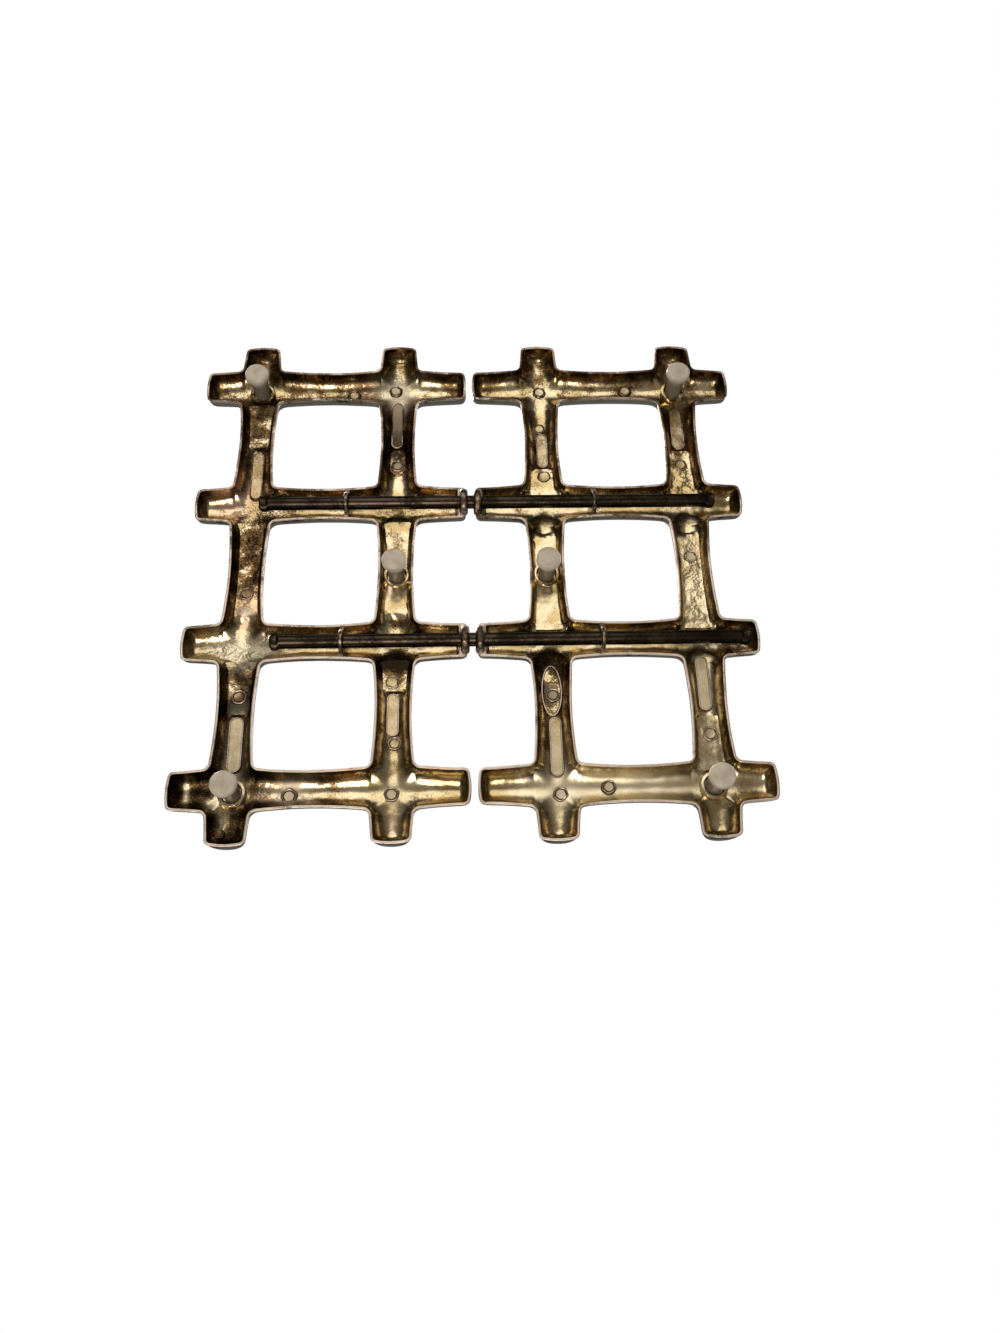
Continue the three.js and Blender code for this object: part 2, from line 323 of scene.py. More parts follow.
# %% [markdown]
# ## The finishes
#
# The troughs were never polished: their walls are dark brown, partly tarnish and partly a painted dark
# reflection, and their floors a rubbed olive gold. The rims are worn to a pale pinkish silver with a
# fine grain, and are darker towards the front. The crowns are bright silver plate, darker towards the
# rims with tarnish and a painted dark reflection. Depth in the trough is the height above the rims, so
# the colours of wall and floor follow from Object coordinates. Wear in single places comes from masks
# that are stored on the mesh, and some of their patches are painted light.


# %% A material and its node groups
def plain_material(name, **values):
    """A material with one Principled shader and these plain values on its own sockets."""
    material = bpy.data.materials.new(name)
    material.use_nodes = True
    shader = material.node_tree.nodes["Principled BSDF"]
    for key, value in values.items():
        shader.inputs[key.replace("_", " ")].default_value = value
    return material, material.node_tree, shader


def spotted(tree, colours, **values):
    """The patina group in a tree, with its four colours."""
    names = ("Rubbed", "Straw", "Brown", "Copper")
    named = {name: (*colour, 1) for name, colour in zip(names, colours)}
    return add_node(tree, "ShaderNodeGroup", {"node_tree": patina}, **named, **values)


def wired(tree, shader, colour, roughness, grain):
    """Feeds a shader its colour, its roughness and, if any is given, the grain of cast metal."""
    plug(tree, colour, shader.inputs["Base Color"])
    plug(tree, roughness, shader.inputs["Roughness"])
    if grain:
        bumps = add_node(tree, "ShaderNodeGroup", {"node_tree": cast_grain}, **grain)
        plug(tree, bumps.outputs["Normal"], shader.inputs["Normal"])


def metal(name, colours, roughness, dulling=0.1, grain=None, darkness=None, metallic=1.0, **values):
    """A metal with a patina. A rule for its darkness is worked out in its own tree."""
    material, tree, shader = plain_material(name, Metallic=metallic)
    if darkness:
        values["Darkness"] = darkness(tree)
    spots = spotted(tree, colours, **values)
    dull = Field(tree, spots.outputs["Dull"]) * dulling + roughness
    wired(tree, shader, spots.outputs["Color"], dull, grain)
    return material


# %% The finish of the troughs
foot_height = 8.3  # from the table up to the rims, in millimetres
trough_colours = ((0.78, 0.69, 0.49), (0.46, 0.35, 0.17), (0.11, 0.066, 0.028), (0.44, 0.22, 0.07))
bare_zinc = (0.72, 0.46, 0.36, 1)
# also the colour of painted highlights, through the frost mask
satin_and_highlight_colour = (0.92, 0.85, 0.66, 1)


def height_above_rims(tree):
    """How far a point is above the rims, in millimetres, which is how deep it is in a trough."""
    height = parts_of(tree, object_place(tree))[2]
    return (height - foot_height * MM) * (1 / MM)


def surface_masks(tree):
    """The four masks of a point on a casting: darker, paler and satin, hammered, and bare of plate.

    The first two also hold painted light and painted highlights.
    """
    three_masks = add_node(tree, "ShaderNodeAttribute", {"attribute_name": "three_masks"})
    bare = add_node(tree, "ShaderNodeAttribute", {"attribute_name": "bare"})
    return [*parts_of(tree, three_masks.outputs["Vector"]), Field(tree, bare.outputs["Fac"])]


def trough_finish(name, darkness, stains, waves, roughness):
    material, tree, shader = plain_material(name, Metallic=1.0)
    deep = ranged(tree, height_above_rims(tree), 0.6, 5.0)
    tarnish_and_painted_light, frost_and_highlights, hammered, bare = surface_masks(tree)
    spots = spotted(
        tree,
        trough_colours,
        Cloud_size=6.0,
        Fleck_size=0.6,
        # walls near the rims darker than the floors: partly tarnish, partly a painted dark reflection of
        # the wall opposite
        Darkness=darkness - deep * 0.7 + tarnish_and_painted_light,
        Mottling=(tarnish_and_painted_light.at_least(0).at_most(1) + 1) * stains,
        Copper_share=(0.7 - deep * 0.5).at_least(0),
    )
    # the frost mask also paints bright highlights
    satin_and_highlit = frost_and_highlights.at_least(0).at_most(1)
    colour = mixed(tree, bare, spots.outputs["Color"], bare_zinc)
    colour = mixed(tree, satin_and_highlit * 0.7, colour, satin_and_highlight_colour)
    dull = Field(tree, spots.outputs["Dull"]) * 0.14 + satin_and_highlit * 0.2 + roughness
    grain = {
        "Grain": 0.25,
        "Waves": (1 - satin_and_highlit * 0.6) * waves,
        "Folds": hammered * waves * 2,
        "Pits": hammered * 0.7,
    }
    wired(tree, shader, colour, dull, grain)
    return material


tarnished_trough = trough_finish("tarnished_trough", 0.95, 0.9, 0.32, 0.2)
rubbed_pad = trough_finish("rubbed_pad", 0.75, 0.3, 0.08, 0.4)
print("trough finishes:", tarnished_trough.name, "and", rubbed_pad.name)


# %% The other plated finishes
# along Y, the rims darken from the first place to the second
rims_lightest_until = 40  # of the rims, along Y in millimetres
rims_darkest_from = -70


def darker_in_front(tree):
    """The rims are darker the nearer they are to the trivet's front."""
    place = parts_of(tree, object_place(tree))[1]
    return ranged(tree, place, rims_lightest_until * MM, rims_darkest_from * MM) * 0.65 + 0.15


def patina_and_painted_reflection_near_rims(tree):
    """A crown is darker towards its rims: partly tarnished plate, partly a painted dark reflection."""
    return (1 - ranged(tree, height_above_rims(tree), 0.5, 4.5)) * 1.2 - 0.25


worn_rim = metal(
    "worn_rim",
    ((0.92, 0.86, 0.80), (0.70, 0.60, 0.50), (0.16, 0.11, 0.07), (0.76, 0.54, 0.44)),
    0.45,
    grain={"Grain size": 0.25, "Grain": 0.8, "Wave size": 1.5, "Waves": 0.3},
    darkness=darker_in_front,
    Cloud_size=9.0,
    Fleck_size=0.5,
    Mottling=1.3,
    Copper_share=0.6,
)
silver_crown = metal(
    "silver_crown",
    ((0.90, 0.87, 0.82), (0.84, 0.78, 0.68), (0.44, 0.35, 0.24), (0.76, 0.60, 0.46)),
    0.17,
    dulling=0.2,
    grain={"Grain": 0.08, "Waves": 0.1},
    darkness=patina_and_painted_reflection_near_rims,
    Cloud_size=14.0,
    Fleck_size=1.6,
    Copper_share=0.2,
)
# painted crevice shade along a step, with the dirt that gathers where no cloth reaches
crevice_shade_and_dirt = metal(
    "crevice_shade_and_dirt",
    ((0.20, 0.14, 0.08), (0.11, 0.07, 0.035), (0.05, 0.03, 0.015), (0.15, 0.08, 0.03)),
    0.4,
    metallic=0.8,
    Cloud_size=3.0,
    Fleck_size=0.4,
    Copper_share=0.4,
)
dark_guide = metal(
    "dark_guide",
    ((0.36, 0.30, 0.23), (0.20, 0.15, 0.10), (0.07, 0.05, 0.03), (0.22, 0.13, 0.08)),
    0.32,
    grain={"Grain": 0.5, "Wave size": 1.5, "Waves": 0.5},
    Cloud_size=3.0,
    Fleck_size=0.6,
)
plated = (silver_crown, worn_rim, tarnished_trough, rubbed_pad, crevice_shade_and_dirt, dark_guide)
print("plated finishes:", ", ".join(material.name for material in plated))

# %% [markdown]
# ## The plan of a casting
#
# A half is a lattice of half-round troughs: four rails and two crossbars. It could be cut from blocks,
# but the bars swell towards every crossing and melt into each other there. So the plan is a net of
# lines along and across the bars. Each line only says which crossing it belongs to, how far across the
# bar it lies, and how far along. Geometry Nodes turn that into places, once for the outside of the
# wall and once for the inside.

# %% Sizes of the lattice, in millimetres
inner_end = 1.05
crossbars = (26.5, 78.4)
rails = (-78.1, -27.0, 27.0, 78.1)
slide_rails = rails[1:3]
rail_stub = 20.1
crossbar_stub = 18.3
bar_depth = 7.5
crown_wall = 1.5
side_wall = 0.9
waist = 6.2  # half a bar's width between two crossings
swell = 0.9
fillet = 2.2
fullness = 2.5  # of the section: 2 is an ellipse, and more is squarer
hollow_fullness = 2.05
end_round = 2.0  # of a free end's corners, seen from above
end_fall = 2.0  # along which the crown rounds off to a free end
end_bulge = 0.4
bowl = 3.2  # along which the hollow rises to the rim at a free end
collar_round = 1.5
collar_proud = 0.7  # how far a rail's end lies behind the face of its collar
collar_wall = 3.0
crossing = waist + swell
print("window:", round(rails[2] - rails[1] - 2 * waist, 1), "mm wide between the inner rails")

# %% Lines over the width of a bar
Line = namedtuple("Line", "centre across along reach end drop")
section_steps = 24


def section_lines(centre):
    """Lines over the full width of a bar, closer together on its steep sides."""
    for step in range(section_steps + 1):
        wave = math.sin((step / section_steps - 0.5) * math.pi)
        share = math.copysign(abs(wave) ** (2 / fullness), wave)
        yield Line(centre, share, 0.0, 1.0, 0.0, 0.0)


shares = [round(line.across, 2) for line in section_lines(0)]
print("shares of half a bar's width:", shares[: section_steps // 2 + 1])

# %% Lines along a bar
fillet_steps = 5
end_steps = 9
cap_steps = 5
row_pitch = 1.35
land_edge = 0.3  # half the length of the step at the edge of a flat land
corner = crossing + fillet * (1 - math.sqrt(0.5))  # where a window's fillet is at 45 degrees


def stretch_places(reach, ended, extra):
    """Distances from a crossing's middle: round its fillet, on to the reach, and round a free end."""
    quarter = math.pi / 4
    places = [
        crossing + fillet * (1 - math.cos(quarter + quarter * step / fillet_steps))
        for step in range(1, fillet_steps + 1)
    ]
    stop = reach - bowl if ended else reach
    rows = round((stop - places[-1]) / row_pitch)
    start = places[-1]
    places += [start + (stop - start) * row / rows for row in range(1, rows + 1)]
    if ended:
        angles = [math.pi / 2 * (1 - step / end_steps) for step in range(1, end_steps + 1)]
        places += [reach - bowl * (1 - math.cos(angle)) for angle in angles]
    for place in extra:
        if place >= places[0]:
            places = [p for p in places if abs(p - place) > 3 * land_edge]
            places += [place - land_edge, place + land_edge]
    return sorted(places)


def stretch_lines(centre, side, reach, ended, extra=()):
    """Lines from a crossing outwards, with those that draw the end of a bar down to its rim."""
    made = []
    for place in stretch_places(reach, ended, extra):
        share = (place - corner) / (reach - corner)
        made.append(Line(centre, side, share, reach, 1.0 if ended else 0.0, 0.0))
    if ended:
        last = made[-1]
        made += [last._replace(drop=(step + 1) / cap_steps) for step in range(cap_steps)]
    return made


def bar_lines(centres, start_reach, stop_reach, land_places):
    """All the lines along a bar that crosses others at these centres."""
    lines = stretch_lines(centres[0], -1, start_reach, True)[::-1]
    for centre, following in zip(centres, (*centres[1:], None)):
        lines += section_lines(centre)
        if following is None:
            lines += stretch_lines(centre, 1, stop_reach, True)
            continue
        reach = (following - centre) / 2
        near = [abs(p - centre) for p in land_places if centre < p < centre + reach]
        far = [abs(p - following) for p in land_places if centre + reach <= p < following]
        lines += stretch_lines(centre, 1, reach, False, near)
        lines += stretch_lines(following, -1, reach, False, far)[:-1][::-1]
    return lines


print("lines on the free end of a rail:", len(stretch_lines(crossbars[1], 1, rail_stub, True)))

# %% Flat lands in the troughs of the crossbars
land_drop = 4.6  # from the rims up to a land
lands = {
    crossbars[0]: [(-16.8, 22.0), (-44.2, -32.0)],
    crossbars[1]: [(-16.8, 22.0), (-51.5, -32.0), (53.6, 73.1)],
}
corner_inside = crossing + fillet - (fillet + side_wall) * math.sqrt(0.5)


def nominal(line):
    """About where a line lies, inside the trough."""
    side = math.copysign(1, line.across)
    free = line.reach - line.end * side_wall - corner_inside
    return line.centre + line.across * corner_inside + side * line.along * free


def on_land(x_line, y_line):
    if x_line.along or x_line.centre not in lands:
        return 0.0
    return float(any(low <= nominal(y_line) <= high for low, high in lands[x_line.centre]))


print("lands:", sum(len(spans) for spans in lands.values()))


# %% The net as a mesh with its plan in attributes
def store(mesh, name, values, kind="FLOAT", domain="POINT"):
    """Keeps values on a mesh under a name."""
    made = mesh.attributes.new(name, kind, domain)
    made.data.foreach_set("vector" if kind == "FLOAT_VECTOR" else "value", values)


def in_guide(x_line, y_line):
    """The inner ends of the slide rails are narrowed by their collars."""
    return float(x_line.end and x_line.centre == crossbars[0] and y_line.centre in slide_rails)


def net_faces(x_lines, y_lines, index):
    """Faces between neighbouring lines, where there is a bar along X, along Y or both."""
    faces = []
    for i in range(len(x_lines) - 1):
        across = not (x_lines[i].along or x_lines[i + 1].along)
        for j in range(len(y_lines) - 1):
            if across or not (y_lines[j].along or y_lines[j + 1].along):
                corners = ((i, j), (i + 1, j), (i + 1, j + 1), (i, j + 1))
                faces.append([index[corner] for corner in corners])
    return faces


def plan_net():
    land_places = [place for spans in lands.values() for span in spans for place in span]
    x_lines = bar_lines(crossbars, crossbars[0] - inner_end, rail_stub, [])
    y_lines = bar_lines(rails, crossbar_stub, crossbar_stub, land_places)
    points, index = [], {}
    for i, x_line in enumerate(x_lines):
        for j, y_line in enumerate(y_lines):
            if not (x_line.along and y_line.along):
                index[i, j] = len(points)
                points.append((x_line, y_line))
    mesh = bpy.data.meshes.new("plan_net")
    places = [(nominal(x), nominal(y), 0) for x, y in points]
    mesh.from_pydata(places, [], net_faces(x_lines, y_lines, index))
    for field in Line._fields:
        values = [v for x, y in points for v in (getattr(x, field), getattr(y, field), 0.0)]
        store(mesh, field, values, "FLOAT_VECTOR")
    for name, rule in (("land", on_land), ("guided", in_guide)):
        store(mesh, name, [rule(x, y) for x, y in points])
    return mesh


net = plan_net()
print("plan net:", len(net.vertices), "points,", len(net.polygons), "faces")

# %% [markdown]
# ## One surface of the casting
#
# Both surfaces of the wall follow one rule: a superellipse section that is narrower by the wall on the
# inside, rounds off at the free ends, and runs smoothly into the bar that it crosses. A group works
# out the rule at any inset, so it gives the outside, the inside and the rounded rim between them.

# %% Named inputs of the surface
bar_sizes = {
    "Waist": waist,
    "Swell": swell,
    "Fillet": fillet,
    "Bow": (crossbars[1] - crossbars[0]) / 2 - crossing - fillet,
    "Fullness": fullness,
    "Rim bead": 0.26,
    "End round": end_round,
    "End fall": end_fall,
    "End loss": end_fall / bar_depth,
    "End bulge": end_bulge,
    "Collar round": collar_round,
    "Collar fall": collar_round,
    "Collar proud": collar_proud,
    "Collar wall": collar_wall / side_wall,
    "Groin": 1.0,
}
hollow_sizes = {"Fullness": hollow_fullness, "End fall": bowl, "End loss": 1.0, "Collar fall": 0.9}


def attribute(tree, name, kind="FLOAT_VECTOR"):
    node = add_node(tree, "GeometryNodeInputNamedAttribute", {"data_type": kind})
    node.inputs["Name"].default_value = name
    return node.outputs["Attribute"]


def both_axes(tree, name):
    """A plan attribute as its two fields, for X and for Y."""
    return parts_of(tree, attribute(tree, name))[:2]


def quarter_circle(radius, distance):
    """How far a quarter circle has come in at a distance from its outer edge."""
    left = radius - distance.at_least(0).at_most(radius)
    return radius - (radius * radius - left * left).at_least(0).sqrt()


print("inputs:", len(bar_sizes), "for the outside,", len(hollow_sizes), "of them other inside")

# %% The group for a place on the casting
least_round = 0.4
groin_onset = 4.0  # how soon the crease between two bars softens


def surface_group():
    inputs = {"Inset": 0.0, "Height": bar_depth, **bar_sizes}
    outputs = {"Plan": VECTOR, "Level": FLOAT}
    tree, given, result = new_tree("casting surface", "GeometryNodeTree", inputs, outputs)
    inset, bead, power = given["Inset"], given["Rim bead"], given["Fullness"]
    edge = given["Waist"] + given["Swell"]
    arc = given["Fillet"] + inset
    square = edge + given["Fillet"] - arc * math.sqrt(0.5)
    guided = Field(tree, attribute(tree, "guided", "FLOAT"))
    wall_scale = guided * (given["Collar wall"] - 1) + 1
    full_round = given["End round"].towards(given["Collar round"], guided)
    nose = (full_round - inset * wall_scale).at_least(least_round)
    fall = given["End fall"].towards(given["Collar fall"], guided)
    bulge = given["End bulge"] * (1 - guided)
    distances, widths, kept, gaps = [], [], [], []
    across, along = both_axes(tree, "across"), both_axes(tree, "along")
    reach, end = both_axes(tree, "reach"), both_axes(tree, "end")
    for axis in range(2):
        curve = bulge * across[1 - axis] * across[1 - axis]
        shortened = wall_scale * inset + curve + guided * given["Collar proud"]
        stop = reach[axis] - end[axis] * shortened
        distance = abs(across[axis]) * square + along[axis] * (stop - square)
        clear = ((distance - edge - given["Fillet"]).at_least(0) / given["Bow"]).at_most(1)
        bow = given["Swell"] * (1 - clear) ** 2
        gap = along[axis] > 0
        trim = quarter_circle(nose, stop - distance) * end[axis] * gap
        turned = quarter_circle(arc, distance.at_least(square) - edge + inset)
        widths.append(given["Waist"] + bow - inset + turned - trim)
        left = 1 - ((stop - distance) / fall).at_least(0).at_most(1)
        lost = given["End loss"] * end[axis] * gap
        kept.append(1 - lost * (1 - (1 - left * left).at_least(0).sqrt()))
        distances.append(distance)
        gaps.append(gap)
    centre, drop = both_axes(tree, "centre"), both_axes(tree, "drop")
    plan = [
        centre[axis] + across[axis] * widths[1 - axis].towards(distances[axis], gaps[axis])
        for axis in range(2)
    ]
    shares = [1 - (distances[axis] / square) ** power for axis in range(2)]
    lesser, greater = shares[0].at_most(shares[1]), shares[0].at_least(shares[1])
    onset = (greater * groin_onset).at_most(1).at_least(0)
    blend = given["Groin"] * (1 - lesser.at_least(0)) * onset
    share = shares[0].math("SMOOTH_MAX", shares[0], shares[1], blend).at_least(0)
    rise = (given["Height"] - bead) * kept[0] * kept[1] * (1 - drop[0].at_least(drop[1]))
    level = bead + rise * share ** (1 / power)
    place = add_node(tree, "ShaderNodeCombineXYZ", X=plan[0], Y=plan[1])
    plug(tree, place.outputs["Vector"], result.inputs["Plan"])
    plug(tree, level, result.inputs["Level"])
    return tree


casting_surface = surface_group()
print("casting surface:", len(casting_surface.nodes), "nodes")

# %% [markdown]
# ## The whole skin of the casting
#
# The net is laid out as the outside, and its inner points are evened a few times, as a die is rubbed
# smooth where two crowns meet. Its free edges are drawn out ring by ring round the rim, and a second
# layout of the same net closes the inside. Cast metal is never quite even, so small dents roughen the
# trough, and a slow noise with a fixed seed then moves the whole skin by a tenth of a millimetre or two.


# %% Small steps of a Geometry Nodes tree
def raised(tree, plan, level):
    """The place above a point of the plan, at a level."""
    up = add_node(tree, "ShaderNodeCombineXYZ", Z=level)
    return vector_math(tree, "ADD", plan, up.outputs["Vector"]).outputs["Vector"]


def moved(tree, geometry, **how):
    """The geometry with its points set to a Position or shifted by an Offset, by a Selection."""
    return add_node(tree, "GeometryNodeSetPosition", Geometry=geometry, **how).outputs["Geometry"]


def merged(tree, geometry, distance):
    node = add_node(tree, "GeometryNodeMergeByDistance", Geometry=geometry, Distance=distance)
    return node.outputs["Geometry"]


def painted(tree, geometry, material, selection=None):
    node = add_node(tree, "GeometryNodeSetMaterial", Geometry=geometry, Material=material)
    plug(tree, selection, node.inputs["Selection"])
    return node.outputs["Geometry"]


def own_place(tree):
    return add_node(tree, "GeometryNodeInputPosition").outputs["Position"]


def wobble(tree, size, amount, seed):
    """A slow random offset, the same each time for the same seed."""
    steady = {"noise_dimensions": "4D"}
    made = add_node(tree, "ShaderNodeTexNoise", steady, Vector=own_place(tree), W=seed, Detail=1.0)
    plug(tree, 1 / size, made.inputs["Scale"])
    centred = vector_math(tree, "ADD", made.outputs["Color"], (-0.5, -0.5, -0.5))
    scaled = vector_math(tree, "SCALE", centred.outputs["Vector"])
    plug(tree, amount * 2, scaled.inputs["Scale"])
    return scaled.outputs["Vector"]


skin_sizes = {
    "Bar depth": bar_depth,
    "Crown wall": crown_wall,
    "Side wall": side_wall,
    "Land drop": land_drop,
    "Unevenness": 0.16,
    "Uneven size": 18.0,
    "Dents": 0.15,
    "Dent size": 4.5,
    "Land waves": 0.5,
    "Crown rubs": 8,
    "Seed": 3.0,
    **bar_sizes,
    **{"Hollow " + key: value for key, value in hollow_sizes.items()},
}
print("skin inputs:", len(skin_sizes))

# %% The outside and the rim
same_place = 0.001  # millimetres within which two points are one


def layout(tree, given, inset, height, hollow=False):
    """The net's plan and level at an inset, as the outside or as the hollow."""
    node = add_node(tree, "GeometryNodeGroup", {"node_tree": casting_surface})
    for key in bar_sizes:
        own = "Hollow " + key if hollow and key in hollow_sizes else key
        plug(tree, given[own], node.inputs[key])
    plug(tree, inset, node.inputs["Inset"])
    plug(tree, height, node.inputs["Height"])
    return node.outputs["Plan"], Field(tree, node.outputs["Level"])


def outside(tree, given):
    """The outside, evened away from its open edges. Returns it with those edges."""
    plan, level = layout(tree, given, 0.0, given["Bar depth"])
    skin = moved(tree, given["Geometry"], Position=raised(tree, plan, level))
    skin = painted(tree, merged(tree, skin, same_place), silver_crown)
    neighbours = add_node(tree, "GeometryNodeInputMeshEdgeNeighbors")
    open_edges = (1.5 - Field(tree, neighbours.outputs["Face Count"])) > 0
    beside = add_node(tree, "GeometryNodeFieldOnDomain", {"domain": "EDGE"}, Value=open_edges)
    within = 1 - (Field(tree, beside.outputs["Value"]) > 0)
    of_places = {"data_type": "FLOAT_VECTOR"}
    evened = add_node(tree, "GeometryNodeBlurAttribute", of_places, Value=own_place(tree))
    plug(tree, within, evened.inputs["Weight"])
    plug(tree, given["Crown rubs"], evened.inputs["Iterations"])
    return moved(tree, skin, Position=evened.outputs["Value"]), open_edges


def with_rim(tree, given, skin, open_edges):
    """The skin with its open edges drawn over a rounded rim."""
    wall, bead = given["Side wall"], given["Rim bead"]
    slope = 1 - math.sqrt(0.5)
    rings = [
        (bead * slope, bead * slope),
        (bead, 0.0),
        (wall - bead, 0.0),
        (wall - bead * slope, bead * slope),
        (wall, bead),
    ]
    selection = open_edges
    for inset, drop in rings:
        edges = {"mode": "EDGES"}
        grown = add_node(tree, "GeometryNodeExtrudeMesh", edges, Mesh=skin, Offset_Scale=0.0)
        plug(tree, selection, grown.inputs["Selection"])
        selection = grown.outputs["Top"]
        plan, _ = layout(tree, given, inset, given["Bar depth"])
        drawn = raised(tree, plan, drop)
        skin = moved(tree, grown.outputs["Mesh"], Position=drawn, Selection=selection)
        skin = painted(tree, skin, worn_rim, grown.outputs["Side"])
    return skin


# %% The hollow and the whole tree
land_wave_scale = 0.22  # waves in a millimetre
land_blend = 0.2
dent_seed = 5.0
dent_onset = 2.0  # above the rim, where the dents have their full depth
rim_gap = 0.02  # within which the rim and the hollow are welded


def trough_lining(tree, given):
    """The inside of the trough, with its flat lands and its dents."""
    wall, bead = given["Side wall"], given["Rim bead"]
    plan, level = layout(tree, given, wall, given["Bar depth"] - given["Crown wall"], hollow=True)
    land = Field(tree, attribute(tree, "land", "FLOAT"))
    waves = add_node(tree, "ShaderNodeTexNoise", Vector=plan, Scale=land_wave_scale, Detail=1.0)
    ledge = given["Land drop"] + given["Land waves"] * (Field(tree, waves.outputs["Fac"]) - 0.5)
    level = level.towards(level.math("SMOOTH_MIN", level, ledge, land_blend), land)
    lining = moved(tree, given["Geometry"], Position=raised(tree, plan, level))
    depth = given["Dents"] * ((level - bead) / dent_onset).at_most(1)
    dents = wobble(tree, given["Dent size"], depth, given["Seed"] + dent_seed)
    lining = moved(tree, merged(tree, lining, same_place), Offset=dents)
    lining = painted(tree, lining, tarnished_trough)
    return add_node(tree, "GeometryNodeFlipFaces", Mesh=lining).outputs["Mesh"]


def casting_tree():
    inputs, outputs = {"Geometry": GEOMETRY, **skin_sizes}, {"Geometry": GEOMETRY}
    tree, given, result = new_tree("casting", "GeometryNodeTree", inputs, outputs)
    skin = with_rim(tree, given, *outside(tree, given))
    both = add_node(tree, "GeometryNodeJoinGeometry")
    for part in (trough_lining(tree, given), skin):
        plug(tree, part, both.inputs["Geometry"])
    closed = merged(tree, both.outputs["Geometry"], rim_gap)
    waves = wobble(tree, given["Uneven size"], given["Unevenness"], given["Seed"])
    uneven = moved(tree, closed, Offset=waves)
    shaded = add_node(tree, "GeometryNodeSetShadeSmooth", Geometry=uneven, Shade_Smooth=True)
    whole = add_node(tree, "GeometryNodeRealizeInstances", Geometry=shaded.outputs["Geometry"])
    plug(tree, whole.outputs["Geometry"], result.inputs["Geometry"])
    return tree


casting = casting_tree()
print("casting tree:", len(casting.nodes), "nodes")


# %% Run a Geometry Nodes tree once and keep the mesh
def kept_mesh(thing):
    """The mesh that an object's modifiers make. The object itself goes."""
    bpy.context.view_layer.update()
    seen = thing.evaluated_get(bpy.context.evaluated_depsgraph_get())
    mesh = bpy.data.meshes.new_from_object(seen)
    bpy.data.objects.remove(thing)
    return mesh


def grown_mesh(name, base, tree, sizes):
    """The mesh that a tree makes from a base mesh, with the tree's inputs set by identifier."""
    thing = thing_of(name, base)
    modifier = thing.modifiers.new("nodes", "NODES")
    modifier.node_group = tree
    for item in tree.interface.items_tree:
        if item.in_out == "INPUT" and item.name in sizes:
            modifier[item.identifier] = sizes[item.name]
    return kept_mesh(thing)


def tidy_shell(mesh):
    """Merges doubles and turns all faces outwards. Returns how many edges aren't shared by two faces."""
    shell = bmesh.new()
    shell.from_mesh(mesh)
    bmesh.ops.remove_doubles(shell, verts=shell.verts, dist=same_place)
    bmesh.ops.dissolve_degenerate(shell, edges=shell.edges, dist=same_place / 10)
    bmesh.ops.recalc_face_normals(shell, faces=shell.faces)
    odd = sum(1 for edge in shell.edges if len(edge.link_faces) != 2)
    shell.to_mesh(mesh)
    shell.free()
    return odd


skin_mesh = grown_mesh("skin", net, casting, skin_sizes)
print("casting skin:", len(skin_mesh.polygons), "faces,", tidy_shell(skin_mesh), "open edges")
print("materials:", [m.name for m in skin_mesh.materials])

# %% [markdown]
# ## What is cast in one with the lattice
#
# Inside the troughs stand the rod guides, the sockets for the feet, raised pads, an oval boss and the
# round marks of the ejector pins. Each is a small closed shell drawn through outlines. Boolean
# modifiers then weld them to the skin and drill the holes, so that a half is one watertight casting.

# %% Closed shells through outlines
round_sides = 48


def shell(name, loops, *materials, paint=()):
    """A closed mesh through loops of equally many points, in millimetres.

    The paint is the number of the material for each band between two loops.
    """
    count = len(loops[0])
    last = (len(loops) - 1) * count
    faces = [list(range(count)), [last + k for k in range(count)]]
    for start in range(0, last, count):
        for k in range(count):
            after = (k + 1) % count
            faces.append([start + k, start + after, start + count + after, start + count + k])
    mesh = bpy.data.meshes.new(name)
    mesh.from_pydata([tuple(point) for loop in loops for point in loop], [], faces)
    for material in materials:
        mesh.materials.append(material)
    if paint:
        bands = [number for number in paint for _ in range(count)]
        mesh.polygons.foreach_set("material_index", [0, 0, *bands])
    tidy_shell(mesh)
    mesh.shade_smooth()
    return mesh


def angles_round(sides=round_sides):
    return [2 * math.pi * k / sides for k in range(sides)]


def ellipse(wide, high, sides=round_sides):
    return [(wide * math.cos(angle), high * math.sin(angle)) for angle in angles_round(sides)]


def slot(wide, long):
    """The outline of a slot with round ends, wide along X and long along Y."""
    straight = long - wide
    return [(x, y + math.copysign(straight, y)) for x, y in ellipse(wide, wide)]


def upright(name, outline, half_sizes, centre, levels, *materials, paint=()):
    """A shell along Z. Each level is a height and how far the outline has come in there."""
    wide, long = half_sizes
    loops = [
        [(centre[0] + x, centre[1] + y, z) for x, y in outline(wide - inset, long - inset)]
        for z, inset in levels
    ]
    return shell(name, loops, *materials, paint=paint)


def lengthwise(name, sections, y, material):
    """A shell along X. Each section is a place along it, half a width and half a height."""
    loops = [[(x, y + across, up) for across, up in ellipse(w, h)] for x, w, h in sections]
    return shell(name, loops, material)


def joined(name, meshes):
    """One mesh of several, with their materials."""
    whole = bmesh.new()
    materials = []
    for mesh in meshes:
        first = len(whole.faces)
        whole.from_mesh(mesh)
        whole.faces.ensure_lookup_table()
        for material in mesh.materials:
            if material not in materials:
                materials.append(material)
        for face in whole.faces[first:]:
            face.material_index = materials.index(mesh.materials[face.material_index])
    made = bpy.data.meshes.new(name)
    whole.to_mesh(made)
    whole.free()
    for material in materials:
        made.materials.append(material)
    return made


print("a round outline has", len(ellipse(1, 1)), "points")

# %% [markdown]
# ## The rod guides
#
# Each rod slides through a collar at the inner end of its rail and a thin web further out. On the real
# casting both are humps with a bore, and the web also closes the trough with a plate. The humps are
# drawn as discs with rounded edges, because a bevel would slip where they meet the trough.

